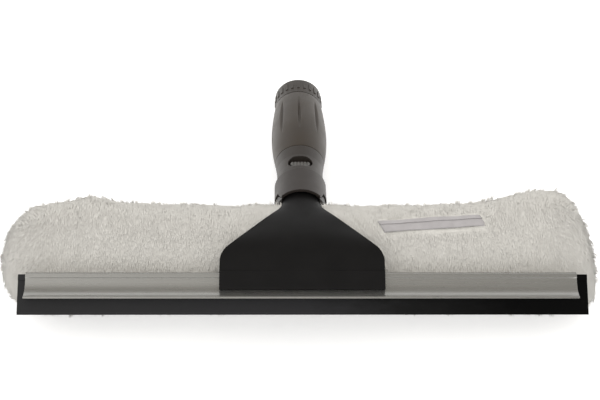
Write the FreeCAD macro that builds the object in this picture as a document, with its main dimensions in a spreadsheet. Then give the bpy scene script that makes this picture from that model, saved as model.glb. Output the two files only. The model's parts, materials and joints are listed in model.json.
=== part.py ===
"""Window scrubber: fleece sleeve on a T-bar, squeegee blade in front, short handle with a pole socket."""
import FreeCAD
import Part
import Sketcher
from FreeCAD import Placement, Rotation, Vector

import math
import os
from types import SimpleNamespace

# Lengths are in millimetres and angles in degrees.
# Handle pieces are drawn on the handle's axis: z runs from the collar's lower edge to the open end,
# and -y is the side that faces the user. Head pieces are drawn on the blade's plane: y runs up the
# blade towards the handle and z points out of its front. Both frames share one origin.
SIZES = {
    # Collar and spigot
    "collar_radius": 17.2,
    "collar_length": 18.2,
    "collar_wall": 3.0,
    "collar_floor": 4.2,
    "collar_edge": 0.8,
    "tab_drop": 6.5,
    "tab_width": 30.0,
    "tab_tip_width": 25.0,
    "tab_arch": 3.4,
    "tab_wall": 1.9,
    "spigot_radius": 11.4,
    "spigot_wall": 2.4,
    "spigot_length": 38.0,
    # Handle core: waisted neck, tube under the grip, socket for a pole
    "waist_radius": 15.3,
    "waist_length": 8.0,
    "neck_length": 25.6,
    "neck_top_radius": 16.7,
    "core_radius": 14.0,
    "pole_radius": 11.0,
    "pole_depth": 62.0,
    "window_width": 16.4,
    "window_length": 10.2,
    "window_height": 4.6,
    # Grip and end band
    "grip_length": 68.6,
    "bulge_radius": 19.3,
    "bulge_height": 30.2,
    "grip_groove": 0.6,
    "grip_end_radius": 17.0,
    "flute_count": 9,
    "flute_height": 38.0,
    "flute_length": 48.0,
    "flute_rise": 0.2,
    "flute_radius": 1.15,
    "band_length": 16.6,
    "band_radius": 16.9,
    "band_edge": 0.9,
    "knurl_count": 24,
    "knurl_width": 1.9,
    "knurl_length": 7.0,
    "knurl_relief": 0.45,
    # Lock button and its spring
    "button_width": 13.0,
    "button_length": 4.8,
    "button_drop": 0.4,
    "button_travel": 3.0,
    "button_release": 1.4,
    "button_flange": 1.0,
    "button_flange_thickness": 1.3,
    "button_rib_count": 5,
    "button_rib_gap": 0.9,
    "button_rib_depth": 0.6,
    "slide_gap": 0.2,
    "spring_width": 8.0,
    "spring_thickness": 0.6,
    "spring_length": 22.0,
    # Head: angle to the handle, T-bar
    "head_angle": 40.0,
    "bar_length": 340.0,
    "bar_height": 42.0,
    "bar_thickness": 11.0,
    "bar_corner": 15.0,
    "bar_drop": 38.0,
    "bar_offset": 6.5,
    "shoulder_radius": 16.3,
    "shoulder_flat": 2.4,
    "lug_gap": 24.4,
    "lug_drop": 8.0,
    "root_width": 46.0,
    "root_curve": 60.0,
    "slot_count": 3,
    "slot_length": 34.0,
    "slot_width": 14.0,
    "slot_start": 36.0,
    "slot_pitch": 45.0,
    # Blade: aluminium channel and rubber
    "blade_drop": 52.0,
    "blade_offset": 39.0,
    "channel_length": 338.5,
    "channel_height": 16.9,
    "channel_wall": 1.0,
    "channel_bead": 0.5,
    "channel_bead_height": 3.2,
    "channel_flat": 6.5,
    "channel_lip_reach": 5.2,
    "channel_lip_edge": 1.1,
    "channel_undercut": 1.2,
    "rubber_length": 350.0,
    "rubber_height": 24.7,
    "rubber_thickness": 2.2,
    "rubber_edge": 1.3,
    "rubber_bead": 3.4,
    "rubber_bead_height": 3.6,
    "rubber_shift": 1.0,
    # Squeegee bracket and rear clamp
    "bracket_width": 101.4,
    "bracket_neck_width": 23.0,
    "bracket_thickness": 3.0,
    "bracket_neck_thickness": 2.4,
    "bracket_slope": 41.0,
    "bracket_neck_drop": 5.5,
    "bracket_corner": 14.0,
    "bracket_cove": 12.0,
    "bracket_radius": 13.6,
    "rib_count": 3,
    "rib_pitch": 17.0,
    "rib_width": 1.8,
    "rib_depth": 2.5,
    "tongue_angle": 100.0,
    "tongue_length": 10.0,
    "tongue_root": 2.0,
    "jaw_cover": 11.2,
    "jaw_top": 5.6,
    "clamp_thickness": 2.8,
    "clamp_cover": 13.0,
    # Fleece sleeve and its label
    "sleeve_length": 381.0,
    "sleeve_height": 74.0,
    "sleeve_thickness": 47.0,
    "sleeve_edge_radius": 19.0,
    "sleeve_end_length": 50.0,
    "sleeve_ear": 6.0,
    "sleeve_ear_length": 28.0,
    "sleeve_flat": 1.5,
    "label_length": 63.0,
    "label_width": 8.6,
    "label_thickness": 0.7,
    "label_inset": 76.0,
    "label_turn": 70.0,
    "label_tilt": 4.0,
    # Clearances
    "fit_gap": 0.1,
    "seat_gap": 0.3,
    "soft_gap": 0.4,
}

doc = FreeCAD.newDocument("window_scrubber")
sheet = doc.addObject("Spreadsheet::Sheet", "sizes")
for row, (alias, number) in enumerate(SIZES.items(), start=1):
    sheet.set(f"A{row}", alias)
    sheet.set(f"B{row}", str(number))
    sheet.setAlias(f"B{row}", alias)
doc.recompute()


class Size:
    """A length worked out from the sheet: its present number and the expression that gives it."""

    def __init__(self, value, text):
        self.value = float(value)
        self.text = text

    def __add__(self, other):
        other = sized(other)
        return Size(self.value + other.value, f"({self.text} + {other.text})")

    def __sub__(self, other):
        other = sized(other)
        return Size(self.value - other.value, f"({self.text} - {other.text})")

    def __rsub__(self, other):
        return sized(other) - self

    def __mul__(self, other):
        other = sized(other)
        return Size(self.value * other.value, f"({self.text} * {other.text})")

    def __truediv__(self, other):
        other = sized(other)
        return Size(self.value / other.value, f"({self.text} / {other.text})")

    def __neg__(self):
        return Size(-self.value, f"(-{self.text})")

    __radd__ = __add__
    __rmul__ = __mul__


def sized(number):
    return number if isinstance(number, Size) else Size(number, repr(float(number)))


def root(size):
    return Size(math.sqrt(size.value), f"sqrt({size.text})")


def tangent_radius(run, rise):
    """Radius of the arc that leaves a straight tangentially and rises by that much over that run."""
    return (run * run + rise * rise) / (2 * rise)


# Bound sizes for sketches and features, and plain numbers for shapes made in code.
size = SimpleNamespace(**{alias: Size(getattr(sheet, alias), f"sizes.{alias}") for alias in SIZES})
mm = SimpleNamespace(**{alias: float(getattr(sheet, alias)) for alias in SIZES})

LEFT, RIGHT = 1, -1
# Where the neck's round back is pinned, in radians below its middle
ROUND_TURN = 0.5
# Straight runs in each half of a swelling profile, and in each arc of the sleeve's ovals
SWELL_STEPS = 2
OVAL_STEPS = 2
# How fast the bracket's curve opens out at the neck, and flattens at the blade
FAN_OPENING = 16
FAN_FLATTENING = 60
FAN_FLAT = 1.66


def new_body(name):
    body = doc.addObject("PartDesign::Body", name)
    body.Label = name
    return body


def new_sketch(body, name, role, lift=None, tilt=None):
    """Sketch on one of the body's origin planes, lifted along its normal or tilted about its own x axis."""
    sketch = body.newObject("Sketcher::SketchObject", name)
    plane = next(item for item in body.Origin.OriginFeatures if item.Role == role)
    sketch.AttachmentSupport = [(plane, "")]
    sketch.MapMode = "FlatFace"
    if tilt is not None:
        sketch.AttachmentOffset = Placement(Vector(), Rotation(Vector(1, 0, 0), tilt.value))
        sketch.setExpression("AttachmentOffset.Rotation.Angle", f"{tilt.text} * 1deg")
    if lift is not None:
        sketch.AttachmentOffset = Placement(Vector(0, 0, lift.value), Rotation())
        sketch.setExpression("AttachmentOffset.Base.z", f"{lift.text} * 1mm")
    return sketch


def fix_point(sketch, edge, end, x, y):
    """Ties one end of an edge to its x and y."""
    for kind, axis, place in (("DistanceX", -2, x), ("DistanceY", -1, y)):
        if isinstance(place, Size):
            tie = Sketcher.Constraint(kind, -1, 1, edge, end, place.value)
            sketch.setExpression(f"Constraints[{sketch.addConstraint(tie)}]", place.text)
        else:
            sketch.addConstraint(Sketcher.Constraint("PointOnObject", edge, end, axis))


def arc_between(start, end, radius, side):
    """Arc of less than half a circle that bulges to one side of the way from start to end."""
    chord = end - start
    left = Vector(-chord.y, chord.x, 0).normalize()
    rise = math.sqrt(max(radius**2 - (chord.Length / 2) ** 2, 0))
    centre = start + chord * 0.5 - left * (rise * side)
    first, last = (end, start) if side == LEFT else (start, end)
    angles = [math.atan2(point.y - centre.y, point.x - centre.x) for point in (first, last)]
    if angles[1] <= angles[0]:
        angles[1] += 2 * math.pi
    return Part.ArcOfCircle(Part.Circle(centre, Vector(0, 0, 1), radius), *angles)


def outline(sketch, *corners):
    """Closed outline. A corner is (x, y), or (x, y, radius, side) where the edge that leaves it is an arc."""
    points = [Vector(*(sized(place).value for place in corner[:2])) for corner in corners]
    edges = []
    for index, corner in enumerate(corners):
        start, end = points[index], points[(index + 1) % len(points)]
        if len(corner) == 2:
            edges.append((sketch.addGeometry(Part.LineSegment(start, end)), 1, 2))
            continue
        radius, side = corner[2:]
        edge = sketch.addGeometry(arc_between(start, end, radius.value, side))
        edges.append((edge, 2, 1) if side == LEFT else (edge, 1, 2))
    for index, corner in enumerate(corners):
        edge, start, end = edges[index]
        following, joint, _ = edges[(index + 1) % len(edges)]
        sketch.addConstraint(Sketcher.Constraint("Coincident", edge, end, following, joint))
        fix_point(sketch, edge, start, corner[0], corner[1])
    for (edge, _, _), corner in zip(edges, corners):
        if len(corner) > 2:
            tie = Sketcher.Constraint("Radius", edge, corner[2].value)
            sketch.setExpression(f"Constraints[{sketch.addConstraint(tie)}]", corner[2].text)
    return sketch


def box_outline(sketch, x0, x1, y0, y1):
    return outline(sketch, (x0, y0), (x1, y0), (x1, y1), (x0, y1))


def slot_outline(sketch, x, y, width, height):
    """Rounded slot about (x, y), longer along x, with ends of quarter arcs."""
    radius = height / 2
    reach = width / 2
    near, far = x - reach, x + reach
    return outline(
        sketch,
        (near + radius, y - radius),
        (far - radius, y - radius, radius, RIGHT),
        (far, y, radius, RIGHT),
        (far - radius, y + radius),
        (near + radius, y + radius, radius, RIGHT),
        (near, y, radius, RIGHT),
    )


def extrude(body, kind, name, sketch, length, symmetric=False, reverse=False):
    """Pad or Pocket of a sketch. A pocket that removes nothing is an error."""
    before = body.Shape.Volume if kind == "Pocket" else 0
    feature = body.newObject(f"PartDesign::{kind}", name)
    feature.Profile = sketch
    feature.setExpression("Length", f"{length.text} * 1mm")
    feature.SideType = "Symmetric" if symmetric else "One side"
    feature.Reversed = reverse
    doc.recompute()
    if kind == "Pocket" and feature.Shape.Volume >= before:
        raise RuntimeError(f"{body.Label}: {name} removes nothing")
    return feature


def revolve(body, kind, name, sketch, axis="V_Axis", angle=None):
    """Revolution or Groove about an axis of the sketch, all the way round or by an angle to both sides."""
    feature = body.newObject(f"PartDesign::{kind}", name)
    feature.Profile = sketch
    feature.ReferenceAxis = (sketch, [axis])
    if angle is None:
        feature.Angle = 360
    else:
        feature.setExpression("Angle", angle)
        feature.Midplane = True
    doc.recompute()
    return feature


def swelling(level, radius, run, rise):
    """Corners along a curve that leaves (radius, level) along the axis and swells by rise over a run."""
    shares = [step / SWELL_STEPS for step in range(1, SWELL_STEPS + 1)]
    return [(radius + rise * share**2, level + run * share) for share in shares]


def repeat_round(body, name, feature, count):
    pattern = body.newObject("PartDesign::PolarPattern", name)
    pattern.Originals = [feature]
    pattern.Axis = (next(item for item in body.Origin.OriginFeatures if item.Role == "Z_Axis"), [""])
    pattern.Angle = 360
    pattern.setExpression("Occurrences", count.text)
    body.Tip = pattern
    doc.recompute()
    return pattern


def repeat_along_x(body, name, feature, pitch, count, reverse=False):
    pattern = body.newObject("PartDesign::LinearPattern", name)
    pattern.Originals = [feature]
    pattern.Direction = (next(item for item in body.Origin.OriginFeatures if item.Role == "X_Axis"), [""])
    pattern.setExpression("Length", f"{(pitch * (count - 1)).text} * 1mm")
    pattern.setExpression("Occurrences", count.text)
    pattern.Reversed = reverse
    body.Tip = pattern
    doc.recompute()
    return pattern


# Heights along the handle's axis
neck_foot = size.collar_length
neck_top = neck_foot + size.neck_length
grip_top = neck_top + size.grip_length
handle_top = grip_top + size.band_length
spigot_top = neck_foot + size.spigot_length
window_level = neck_foot + size.window_height + size.window_length / 2
button_level = window_level - size.button_drop


# Collar with the spigot that the handle slides on
hub = new_body("hub_collar")
socket_radius = size.collar_radius - size.collar_wall
mouth_radius = size.collar_radius - size.tab_wall
socket_top = size.collar_length - size.collar_floor
spigot_bore = size.spigot_radius - size.spigot_wall
profile = outline(
    new_sketch(hub, "hub_profile", "XZ_Plane"),
    (mouth_radius, -size.tab_drop),
    (size.collar_radius, -size.tab_drop),
    (size.collar_radius, size.collar_length - size.collar_edge),
    (size.collar_radius - size.collar_edge, size.collar_length),
    (size.spigot_radius, size.collar_length),
    (size.spigot_radius, spigot_top),
    (spigot_bore, spigot_top),
    (spigot_bore, size.collar_length),
    (0, size.collar_length),
    (0, socket_top),
    (socket_radius, socket_top),
    (socket_radius, 0),
    (mouth_radius, 0),
)
revolve(hub, "Revolution", "hub_turned", profile)
# Its rim stops at the T-bar's shoulder, but for a tab in front that arches over the bracket's neck
tab_half = size.tab_width / 2
tip_half = size.tab_tip_width / 2
tab_level = root(size.collar_radius * size.collar_radius - tab_half * tab_half)
rim = box_outline(
    new_sketch(hub, "rim_outline", "XY_Plane", lift=-size.tab_drop),
    -2 * size.collar_radius, 2 * size.collar_radius, -tab_level, 2 * size.collar_radius,
)
extrude(hub, "Pocket", "rim_cut", rim, size.tab_drop, reverse=True)
arch_radius = (tip_half * tip_half + size.tab_arch * size.tab_arch) / (2 * size.tab_arch)
tab_foot = -2 * size.tab_drop
tab = outline(
    new_sketch(hub, "tab_outline", "XZ_Plane"),
    (-2 * tab_half, tab_foot),
    (2 * tab_half, tab_foot),
    (2 * tab_half, 0),
    (tab_half, 0),
    (tip_half, -size.tab_drop, arch_radius, LEFT),
    (-tip_half, -size.tab_drop),
    (-tab_half, 0),
    (-2 * tab_half, 0),
)
extrude(hub, "Pocket", "tab_cut", tab, 2 * size.collar_radius, reverse=True)
button_hole = slot_outline(
    new_sketch(hub, "button_hole_outline", "XZ_Plane"), sized(0), button_level,
    size.button_width + 2 * size.slide_gap, size.button_length + 2 * size.slide_gap,
)
extrude(hub, "Pocket", "button_hole", button_hole, 2 * size.spigot_radius, reverse=True)


# Handle core: neck with the oval window, tube under the grip, pole socket
core = new_body("handle_core")
core_bore = size.spigot_radius + size.fit_gap
bore_top = spigot_top + size.seat_gap
pole_floor = handle_top - size.pole_depth
waist_top = neck_foot + size.waist_length
flare = swelling(waist_top, size.waist_radius, neck_top - waist_top, size.neck_top_radius - size.waist_radius)
profile = outline(
    new_sketch(core, "core_profile", "XZ_Plane"),
    (core_bore, neck_foot),
    (size.waist_radius, neck_foot),
    (size.waist_radius, waist_top),
    *flare,
    (size.core_radius, neck_top),
    (size.core_radius, handle_top),
    (size.pole_radius, handle_top),
    (size.pole_radius, pole_floor),
    (0, pole_floor),
    (0, bore_top),
    (core_bore, bore_top),
)
revolve(core, "Revolution", "core_turned", profile)
window = slot_outline(
    new_sketch(core, "window_outline", "XZ_Plane"), sized(0), window_level,
    size.window_width, size.window_length,
)
extrude(core, "Pocket", "window_cut", window, 2 * size.neck_top_radius, reverse=True)


# Grip: bulged sleeve over the tube with long shallow flutes
grip = new_body("handle_grip")
grip_bore = size.core_radius + size.fit_gap
bulge_level = neck_top + size.bulge_height
above_bulge = size.grip_length - size.bulge_height - size.grip_groove
below_bulge = size.bulge_height - size.grip_groove
below = swelling(bulge_level, size.bulge_radius, -below_bulge, size.neck_top_radius - size.bulge_radius)
above = swelling(bulge_level, size.bulge_radius, above_bulge, size.grip_end_radius - size.bulge_radius)
profile = outline(
    new_sketch(grip, "grip_profile", "XZ_Plane"),
    (grip_bore, neck_top + size.grip_groove),
    *reversed(below),
    (size.bulge_radius, bulge_level),
    *above,
    (grip_bore, grip_top - size.grip_groove),
)
revolve(grip, "Revolution", "grip_turned", profile)


def grip_skin(height):
    """Radius of the grip's skin at a height above its bulge."""
    share = height / above_bulge
    return size.bulge_radius + (size.grip_end_radius - size.bulge_radius) * share * share


# Each flute is cut by a straight bar whose ends come out of the bulged skin
flute_foot = size.flute_height - size.flute_length / 2 - size.bulge_height
flute_head = flute_foot + size.flute_length
foot_out = -(grip_skin(flute_foot) + size.flute_rise)
head_out = -(grip_skin(flute_head) + size.flute_rise)
flute_start = (foot_out - size.flute_radius, bulge_level + flute_foot)
flute_end = (head_out - size.flute_radius, bulge_level + flute_head)
flute = outline(
    new_sketch(grip, "flute_outline", "YZ_Plane"),
    flute_start,
    flute_end,
    (head_out, bulge_level + flute_head),
    (foot_out, bulge_level + flute_foot),
)
axle_ends = [Vector(x.value, y.value, 0) for x, y in (flute_start, flute_end)]
axle = flute.addGeometry(Part.LineSegment(*axle_ends), True)
fix_point(flute, axle, 1, *flute_start)
fix_point(flute, axle, 2, *flute_end)
groove = revolve(grip, "Groove", "flute_groove", flute, "Axis0")
repeat_round(grip, "flutes", groove, size.flute_count)


# End band round the mouth of the pole socket, with a ring of short raised bars
band = new_body("end_band")
profile = outline(
    new_sketch(band, "band_profile", "XZ_Plane"),
    (grip_bore, grip_top),
    (size.band_radius, grip_top),
    (size.band_radius, handle_top - size.band_edge),
    (size.band_radius - size.band_edge, handle_top),
    (grip_bore, handle_top),
)
revolve(band, "Revolution", "band_turned", profile)
band_level = grip_top + size.band_length / 2
bar = box_outline(
    new_sketch(band, "bar_outline", "XZ_Plane", lift=(grip_bore + size.band_radius) / 2),
    -size.knurl_width / 2, size.knurl_width / 2,
    band_level - size.knurl_length / 2, band_level + size.knurl_length / 2,
)
bar_height = size.band_radius + size.knurl_relief - (grip_bore + size.band_radius) / 2
raised = extrude(band, "Pad", "raised_bar", bar, bar_height)
repeat_round(band, "raised_bars", raised, size.knurl_count)


# Lock button: bar with a flange inside the spigot's bore and fine grooves across its top
button = new_body("lock_button")
# Pressed all the way, its top lies under the spigot's surface, so that the handle slides off
button_top = size.spigot_radius + size.button_travel - size.button_release
flange_reach = size.button_width / 2 + size.button_flange
flange_top = root(spigot_bore * spigot_bore - flange_reach * flange_reach) - size.slide_gap
flange_foot = flange_top - size.button_flange_thickness
flange = box_outline(
    new_sketch(button, "flange_outline", "XZ_Plane", lift=flange_foot),
    -flange_reach, flange_reach,
    button_level - size.button_length / 2 - size.button_flange,
    button_level + size.button_length / 2 + size.button_flange,
)
extrude(button, "Pad", "flange", flange, size.button_flange_thickness)
stem = slot_outline(
    new_sketch(button, "stem_outline", "XZ_Plane", lift=flange_foot), sized(0), button_level,
    size.button_width, size.button_length,
)
extrude(button, "Pad", "stem", stem, button_top - flange_foot)
rib_pitch = size.button_width / (size.button_rib_count + 1)
first_groove = rib_pitch - size.button_width / 2
rib = box_outline(
    new_sketch(button, "groove_outline", "XZ_Plane", lift=button_top),
    first_groove - size.button_rib_gap / 2, first_groove + size.button_rib_gap / 2,
    button_level - size.button_length, button_level + size.button_length,
)
rib_cut = extrude(button, "Pocket", "groove", rib, size.button_rib_depth)
repeat_along_x(button, "grooves", rib_cut, rib_pitch, size.button_rib_count)


# Hairpin leaf spring between the button's foot and the far wall of the bore
spring = new_body("lock_spring")
spring_near = flange_foot - size.fit_gap
half_spring = size.spring_width / 2
spring_far = size.fit_gap - root(spigot_bore * spigot_bore - half_spring * half_spring)
spring_foot = button_level - size.button_length / 2
spring_bend = spring_foot + size.spring_length
outer_bend = (spring_near - spring_far) / 2
inner_bend = outer_bend - size.spring_thickness
middle = (spring_near + spring_far) / 2
profile = outline(
    new_sketch(spring, "spring_profile", "YZ_Plane"),
    (-spring_near, spring_foot),
    (-(spring_near - size.spring_thickness), spring_foot),
    (-(spring_near - size.spring_thickness), spring_bend, inner_bend, LEFT),
    (-middle, spring_bend + inner_bend, inner_bend, LEFT),
    (-(spring_far + size.spring_thickness), spring_bend),
    (-(spring_far + size.spring_thickness), spring_foot),
    (-spring_far, spring_foot),
    (-spring_far, spring_bend, outer_bend, RIGHT),
    (-middle, spring_bend + outer_bend, outer_bend, RIGHT),
    (-spring_near, spring_bend),
)
extrude(spring, "Pad", "spring_strip", profile, size.spring_width, symmetric=True)


# T-bar: slotted plate inside the sleeve, neck that swells from it to the collar
bar_top = size.bar_height / 2 - size.bar_drop
bar_foot = -size.bar_height / 2 - size.bar_drop
bar_end = size.bar_length / 2
corner = size.bar_corner
t_bar = new_body("t_bar")
plate = outline(
    new_sketch(t_bar, "plate_outline", "XY_Plane", lift=size.bar_offset),
    (corner - bar_end, bar_foot),
    (bar_end - corner, bar_foot, corner, RIGHT),
    (bar_end, bar_foot + corner),
    (bar_end, bar_top - corner, corner, RIGHT),
    (bar_end - corner, bar_top),
    (corner - bar_end, bar_top, corner, RIGHT),
    (-bar_end, bar_top - corner),
    (-bar_end, bar_foot + corner, corner, RIGHT),
)
extrude(t_bar, "Pad", "plate", plate, size.bar_thickness, symmetric=True)
for side, sign in (("right", 1), ("left", -1)):
    slot = slot_outline(
        new_sketch(t_bar, f"slot_outline_{side}", "XY_Plane", lift=size.bar_offset),
        sign * size.slot_start, -size.bar_drop, size.slot_length, size.slot_width,
    )
    cut = extrude(t_bar, "Pocket", f"slot_{side}", slot, 2 * size.bar_thickness, symmetric=True)
    repeat_along_x(t_bar, f"slots_{side}", cut, size.slot_pitch, size.slot_count, reverse=sign < 0)


def shoulder_outline(name, radius, flat):
    """Round section with a flat front, square to the handle's axis."""
    half = root(radius * radius - flat * flat)
    return outline(
        new_sketch(t_bar, name, "XZ_Plane", tilt=-size.head_angle),
        (-half, flat), (half, flat, radius, LEFT), (0, -radius, radius, LEFT),
    )


root_front = size.bar_offset + size.bar_thickness / 2
root_back = size.bar_offset - size.bar_thickness / 2
root_half = size.root_width / 2
root_sketch = outline(
    new_sketch(t_bar, "root_outline", "XZ_Plane", lift=-(bar_top - size.slide_gap)),
    (-root_half, root_front), (root_half, root_front, size.root_curve, LEFT),
    (0, root_back, size.root_curve, LEFT),
)
neck = t_bar.newObject("PartDesign::AdditiveLoft", "neck")
neck.Profile = shoulder_outline("neck_outline", size.shoulder_radius, size.shoulder_flat)
neck.Sections = [root_sketch]
doc.recompute()
# Lugs of the shoulder rise on both sides of the bracket's neck up to the collar, clear of its tab
lug_inside = size.lug_gap / 2
lug_front = root(size.shoulder_radius * size.shoulder_radius - lug_inside * lug_inside)
lugs = outline(
    new_sketch(t_bar, "lug_outline", "XZ_Plane", tilt=-size.head_angle),
    (-lug_inside, size.shoulder_flat),
    (lug_inside, size.shoulder_flat),
    (lug_inside, lug_front, size.shoulder_radius, LEFT),
    (0, -size.shoulder_radius, size.shoulder_radius, LEFT),
    (-lug_inside, lug_front),
)
extrude(t_bar, "Pad", "lugs", lugs, size.lug_drop)
tab_room = outline(
    new_sketch(t_bar, "tab_room_outline", "XY_Plane", tilt=-size.head_angle),
    (-tab_half - size.slide_gap, size.slide_gap),
    (-tip_half - size.slide_gap, -size.tab_drop - size.slide_gap),
    (tip_half + size.slide_gap, -size.tab_drop - size.slide_gap),
    (tab_half + size.slide_gap, size.slide_gap),
)
extrude(t_bar, "Pocket", "tab_room", tab_room, 2 * size.shoulder_radius, reverse=True)
plug = shoulder_outline("plug_outline", socket_radius - size.fit_gap, size.shoulder_flat)
extrude(t_bar, "Pad", "plug", plug, socket_top - size.seat_gap, reverse=True)


# Blade channel: extruded profile with a bead along its top, a cove and a lip that stands forward
channel_top = -size.blade_drop
channel_foot = channel_top - size.channel_height
slot_back = size.blade_offset - size.rubber_thickness / 2 - size.fit_gap
slot_front = size.blade_offset + size.rubber_thickness / 2 + size.fit_gap
seat_back = size.blade_offset - size.rubber_bead / 2 - size.fit_gap
seat_front = size.blade_offset + size.rubber_bead / 2 + size.fit_gap
channel_back = seat_back - size.channel_wall
channel_front = seat_front + size.channel_wall
bead_front = channel_front + size.channel_bead
slot_top = channel_top - size.channel_wall
seat_foot = slot_top - size.rubber_bead_height - 2 * size.fit_gap
cove_top = channel_top - size.channel_flat
lip_top = channel_foot + size.channel_lip_edge
lip_front = channel_front + size.channel_lip_reach
cove_radius = tangent_radius(cove_top - lip_top, size.channel_lip_reach)
channel = new_body("blade_channel")
profile = outline(
    new_sketch(channel, "channel_profile", "YZ_Plane"),
    (channel_foot + size.channel_undercut, channel_back),
    (channel_top - size.channel_wall, channel_back, size.channel_wall, LEFT),
    (channel_top, channel_back + size.channel_wall),
    (channel_top, bead_front - size.channel_wall, size.channel_wall, LEFT),
    (channel_top - size.channel_wall, bead_front),
    (channel_top - size.channel_bead_height, bead_front),
    (channel_top - size.channel_bead_height - size.channel_bead, channel_front),
    (cove_top, channel_front, cove_radius, LEFT),
    (lip_top, lip_front),
    (channel_foot, lip_front),
    (channel_foot + size.channel_undercut, slot_front),
    (seat_foot, slot_front),
    (seat_foot, seat_front),
    (slot_top, seat_front),
    (slot_top, seat_back),
    (seat_foot, seat_back),
    (seat_foot, slot_back),
    (channel_foot + size.channel_undercut, slot_back),
)
extrude(channel, "Pad", "channel_bar", profile, size.channel_length, symmetric=True)


# Rubber blade: bead in the channel's seat, flat strip, thinner working edge
rubber_top = slot_top - size.fit_gap
rubber_foot = rubber_top - size.rubber_height
bead_foot = rubber_top - size.rubber_bead_height
half_bead = size.rubber_bead / 2
half_strip = size.rubber_thickness / 2
half_edge = size.rubber_edge / 2
rubber = new_body("squeegee_rubber")
profile = outline(
    new_sketch(rubber, "rubber_profile", "YZ_Plane", lift=size.rubber_shift),
    (rubber_top, size.blade_offset - half_bead),
    (rubber_top, size.blade_offset + half_bead),
    (bead_foot, size.blade_offset + half_bead),
    (bead_foot, size.blade_offset + half_strip),
    (channel_foot, size.blade_offset + half_strip),
    (rubber_foot, size.blade_offset + half_edge),
    (rubber_foot, size.blade_offset - half_edge),
    (channel_foot, size.blade_offset - half_strip),
    (bead_foot, size.blade_offset - half_strip),
    (bead_foot, size.blade_offset - half_bead),
)
extrude(rubber, "Pad", "rubber_strip", profile, size.rubber_length, symmetric=True)


# Rear clamp plate behind the channel
clamp = new_body("channel_clamp")
clamp_front = channel_back - size.fit_gap
jaw_foot = channel_top + size.seat_gap
plate = box_outline(
    new_sketch(clamp, "clamp_outline", "XY_Plane", lift=clamp_front - size.clamp_thickness),
    -size.bracket_width / 2, size.bracket_width / 2, channel_top - size.clamp_cover, jaw_foot + size.jaw_top,
)
extrude(clamp, "Pad", "clamp_plate", plate, size.clamp_thickness)


# Squeegee bracket: a fan that leaves the collar as part of a tube, flattens and bends over the channel
def head_point(x, along, across):
    """Point of the handle's frame, along its axis and across it towards the front, in the head's frame."""
    angle = math.radians(mm.head_angle)
    up = along * math.cos(angle) + across * math.sin(angle)
    return Vector(x, up, across * math.cos(angle) - along * math.sin(angle))


def fan_section(place, heading, half_width, radius, thickness):
    """Curved strip across the bracket: outer and inner arc about one centre, square to the way it runs."""
    inward = Vector(0, -math.sin(heading), -math.cos(heading))
    centre = place + inward * radius
    spread = math.asin(half_width / radius)

    def on_arc(distance, angle):
        return centre + Vector(math.sin(angle), 0, 0) * distance - inward * (distance * math.cos(angle))

    outer = [on_arc(radius, angle) for angle in (-spread, 0, spread)]
    inner = [on_arc(radius - thickness, angle) for angle in (spread, 0, -spread)]
    return Part.Wire([
        Part.Arc(*outer).toShape(),
        Part.LineSegment(outer[2], inner[0]).toShape(),
        Part.Arc(*inner).toShape(),
        Part.LineSegment(inner[2], outer[0]).toShape(),
    ])


def rounded_face(corners):
    """Face in the head's plane from (x, y, radius) corners, each rounded by its radius."""
    edges, last = [], None
    count = len(corners)
    for index, (x, y, radius) in enumerate(corners):
        here = Vector(x, y, 0)
        before = (Vector(*corners[index - 1][:2], 0) - here).normalize()
        after = (Vector(*corners[(index + 1) % count][:2], 0) - here).normalize()
        half = before.getAngle(after) / 2
        start, end = here, here
        if radius > 0:
            start = here + before * (radius / math.tan(half))
            end = here + after * (radius / math.tan(half))
        if last is not None:
            edges.append(Part.LineSegment(last, start).toShape())
        if radius > 0:
            inner = (before + after).normalize()
            crown = here + inner * (radius / math.sin(half) - radius)
            edges.append(Part.Arc(start, crown, end).toShape())
        last = end
    edges.append(Part.LineSegment(last, edges[0].Vertexes[0].Point).toShape())
    return Part.Face(Part.Wire(edges))


def slab(y0, y1, z0, z1, half_width):
    return Part.makeBox(2 * half_width, y1 - y0, z1 - z0, Vector(-half_width, y0, z0))


lip_foot = channel_top.value - mm.jaw_cover
cove_run = max(cove_top.value - lip_foot, 0.0)
cove_front = channel_front.value + cove_radius.value - math.sqrt(cove_radius.value**2 - cove_run**2)
lip_inner = max(bead_front.value, cove_front) + mm.seat_gap
lip_outer = lip_inner + mm.bracket_thickness
bend = math.radians(mm.head_angle)
tube_start = head_point(0, 0, mm.bracket_radius)
bend_end = Vector(0, jaw_foot.value, lip_outer)
# The bend's radius and the straight before it, so that both meet tangentially
gap_y = tube_start.y - bend_end.y
gap_z = bend_end.z - tube_start.z
bend_radius = (gap_y * math.sin(bend) - gap_z * math.cos(bend)) / (1 - math.cos(bend))
straight = (gap_z - bend_radius * (1 - math.cos(bend))) / math.sin(bend)
half_neck = mm.bracket_neck_width / 2
half_fan = mm.bracket_width / 2
slope = math.tan(math.radians(mm.bracket_slope))
fan_corner_y = -mm.bracket_neck_drop - (half_fan - half_neck) * slope


def fan_strip(share, spread, radius, thickness, grow):
    """Section at a share of the straight (0 to 1) or of the bend (1 to 2)."""
    if share <= 1:
        heading = bend
        place = head_point(0, -straight * share, mm.bracket_radius)
    else:
        heading = bend * (2 - share)
        drop = Vector(0, math.sin(heading), math.cos(heading) - 1) * bend_radius
        place = bend_end + drop
    outward = Vector(0, math.sin(heading), math.cos(heading))
    return fan_section(place + outward * grow, heading, spread + grow, radius + grow, thickness + grow)


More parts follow.
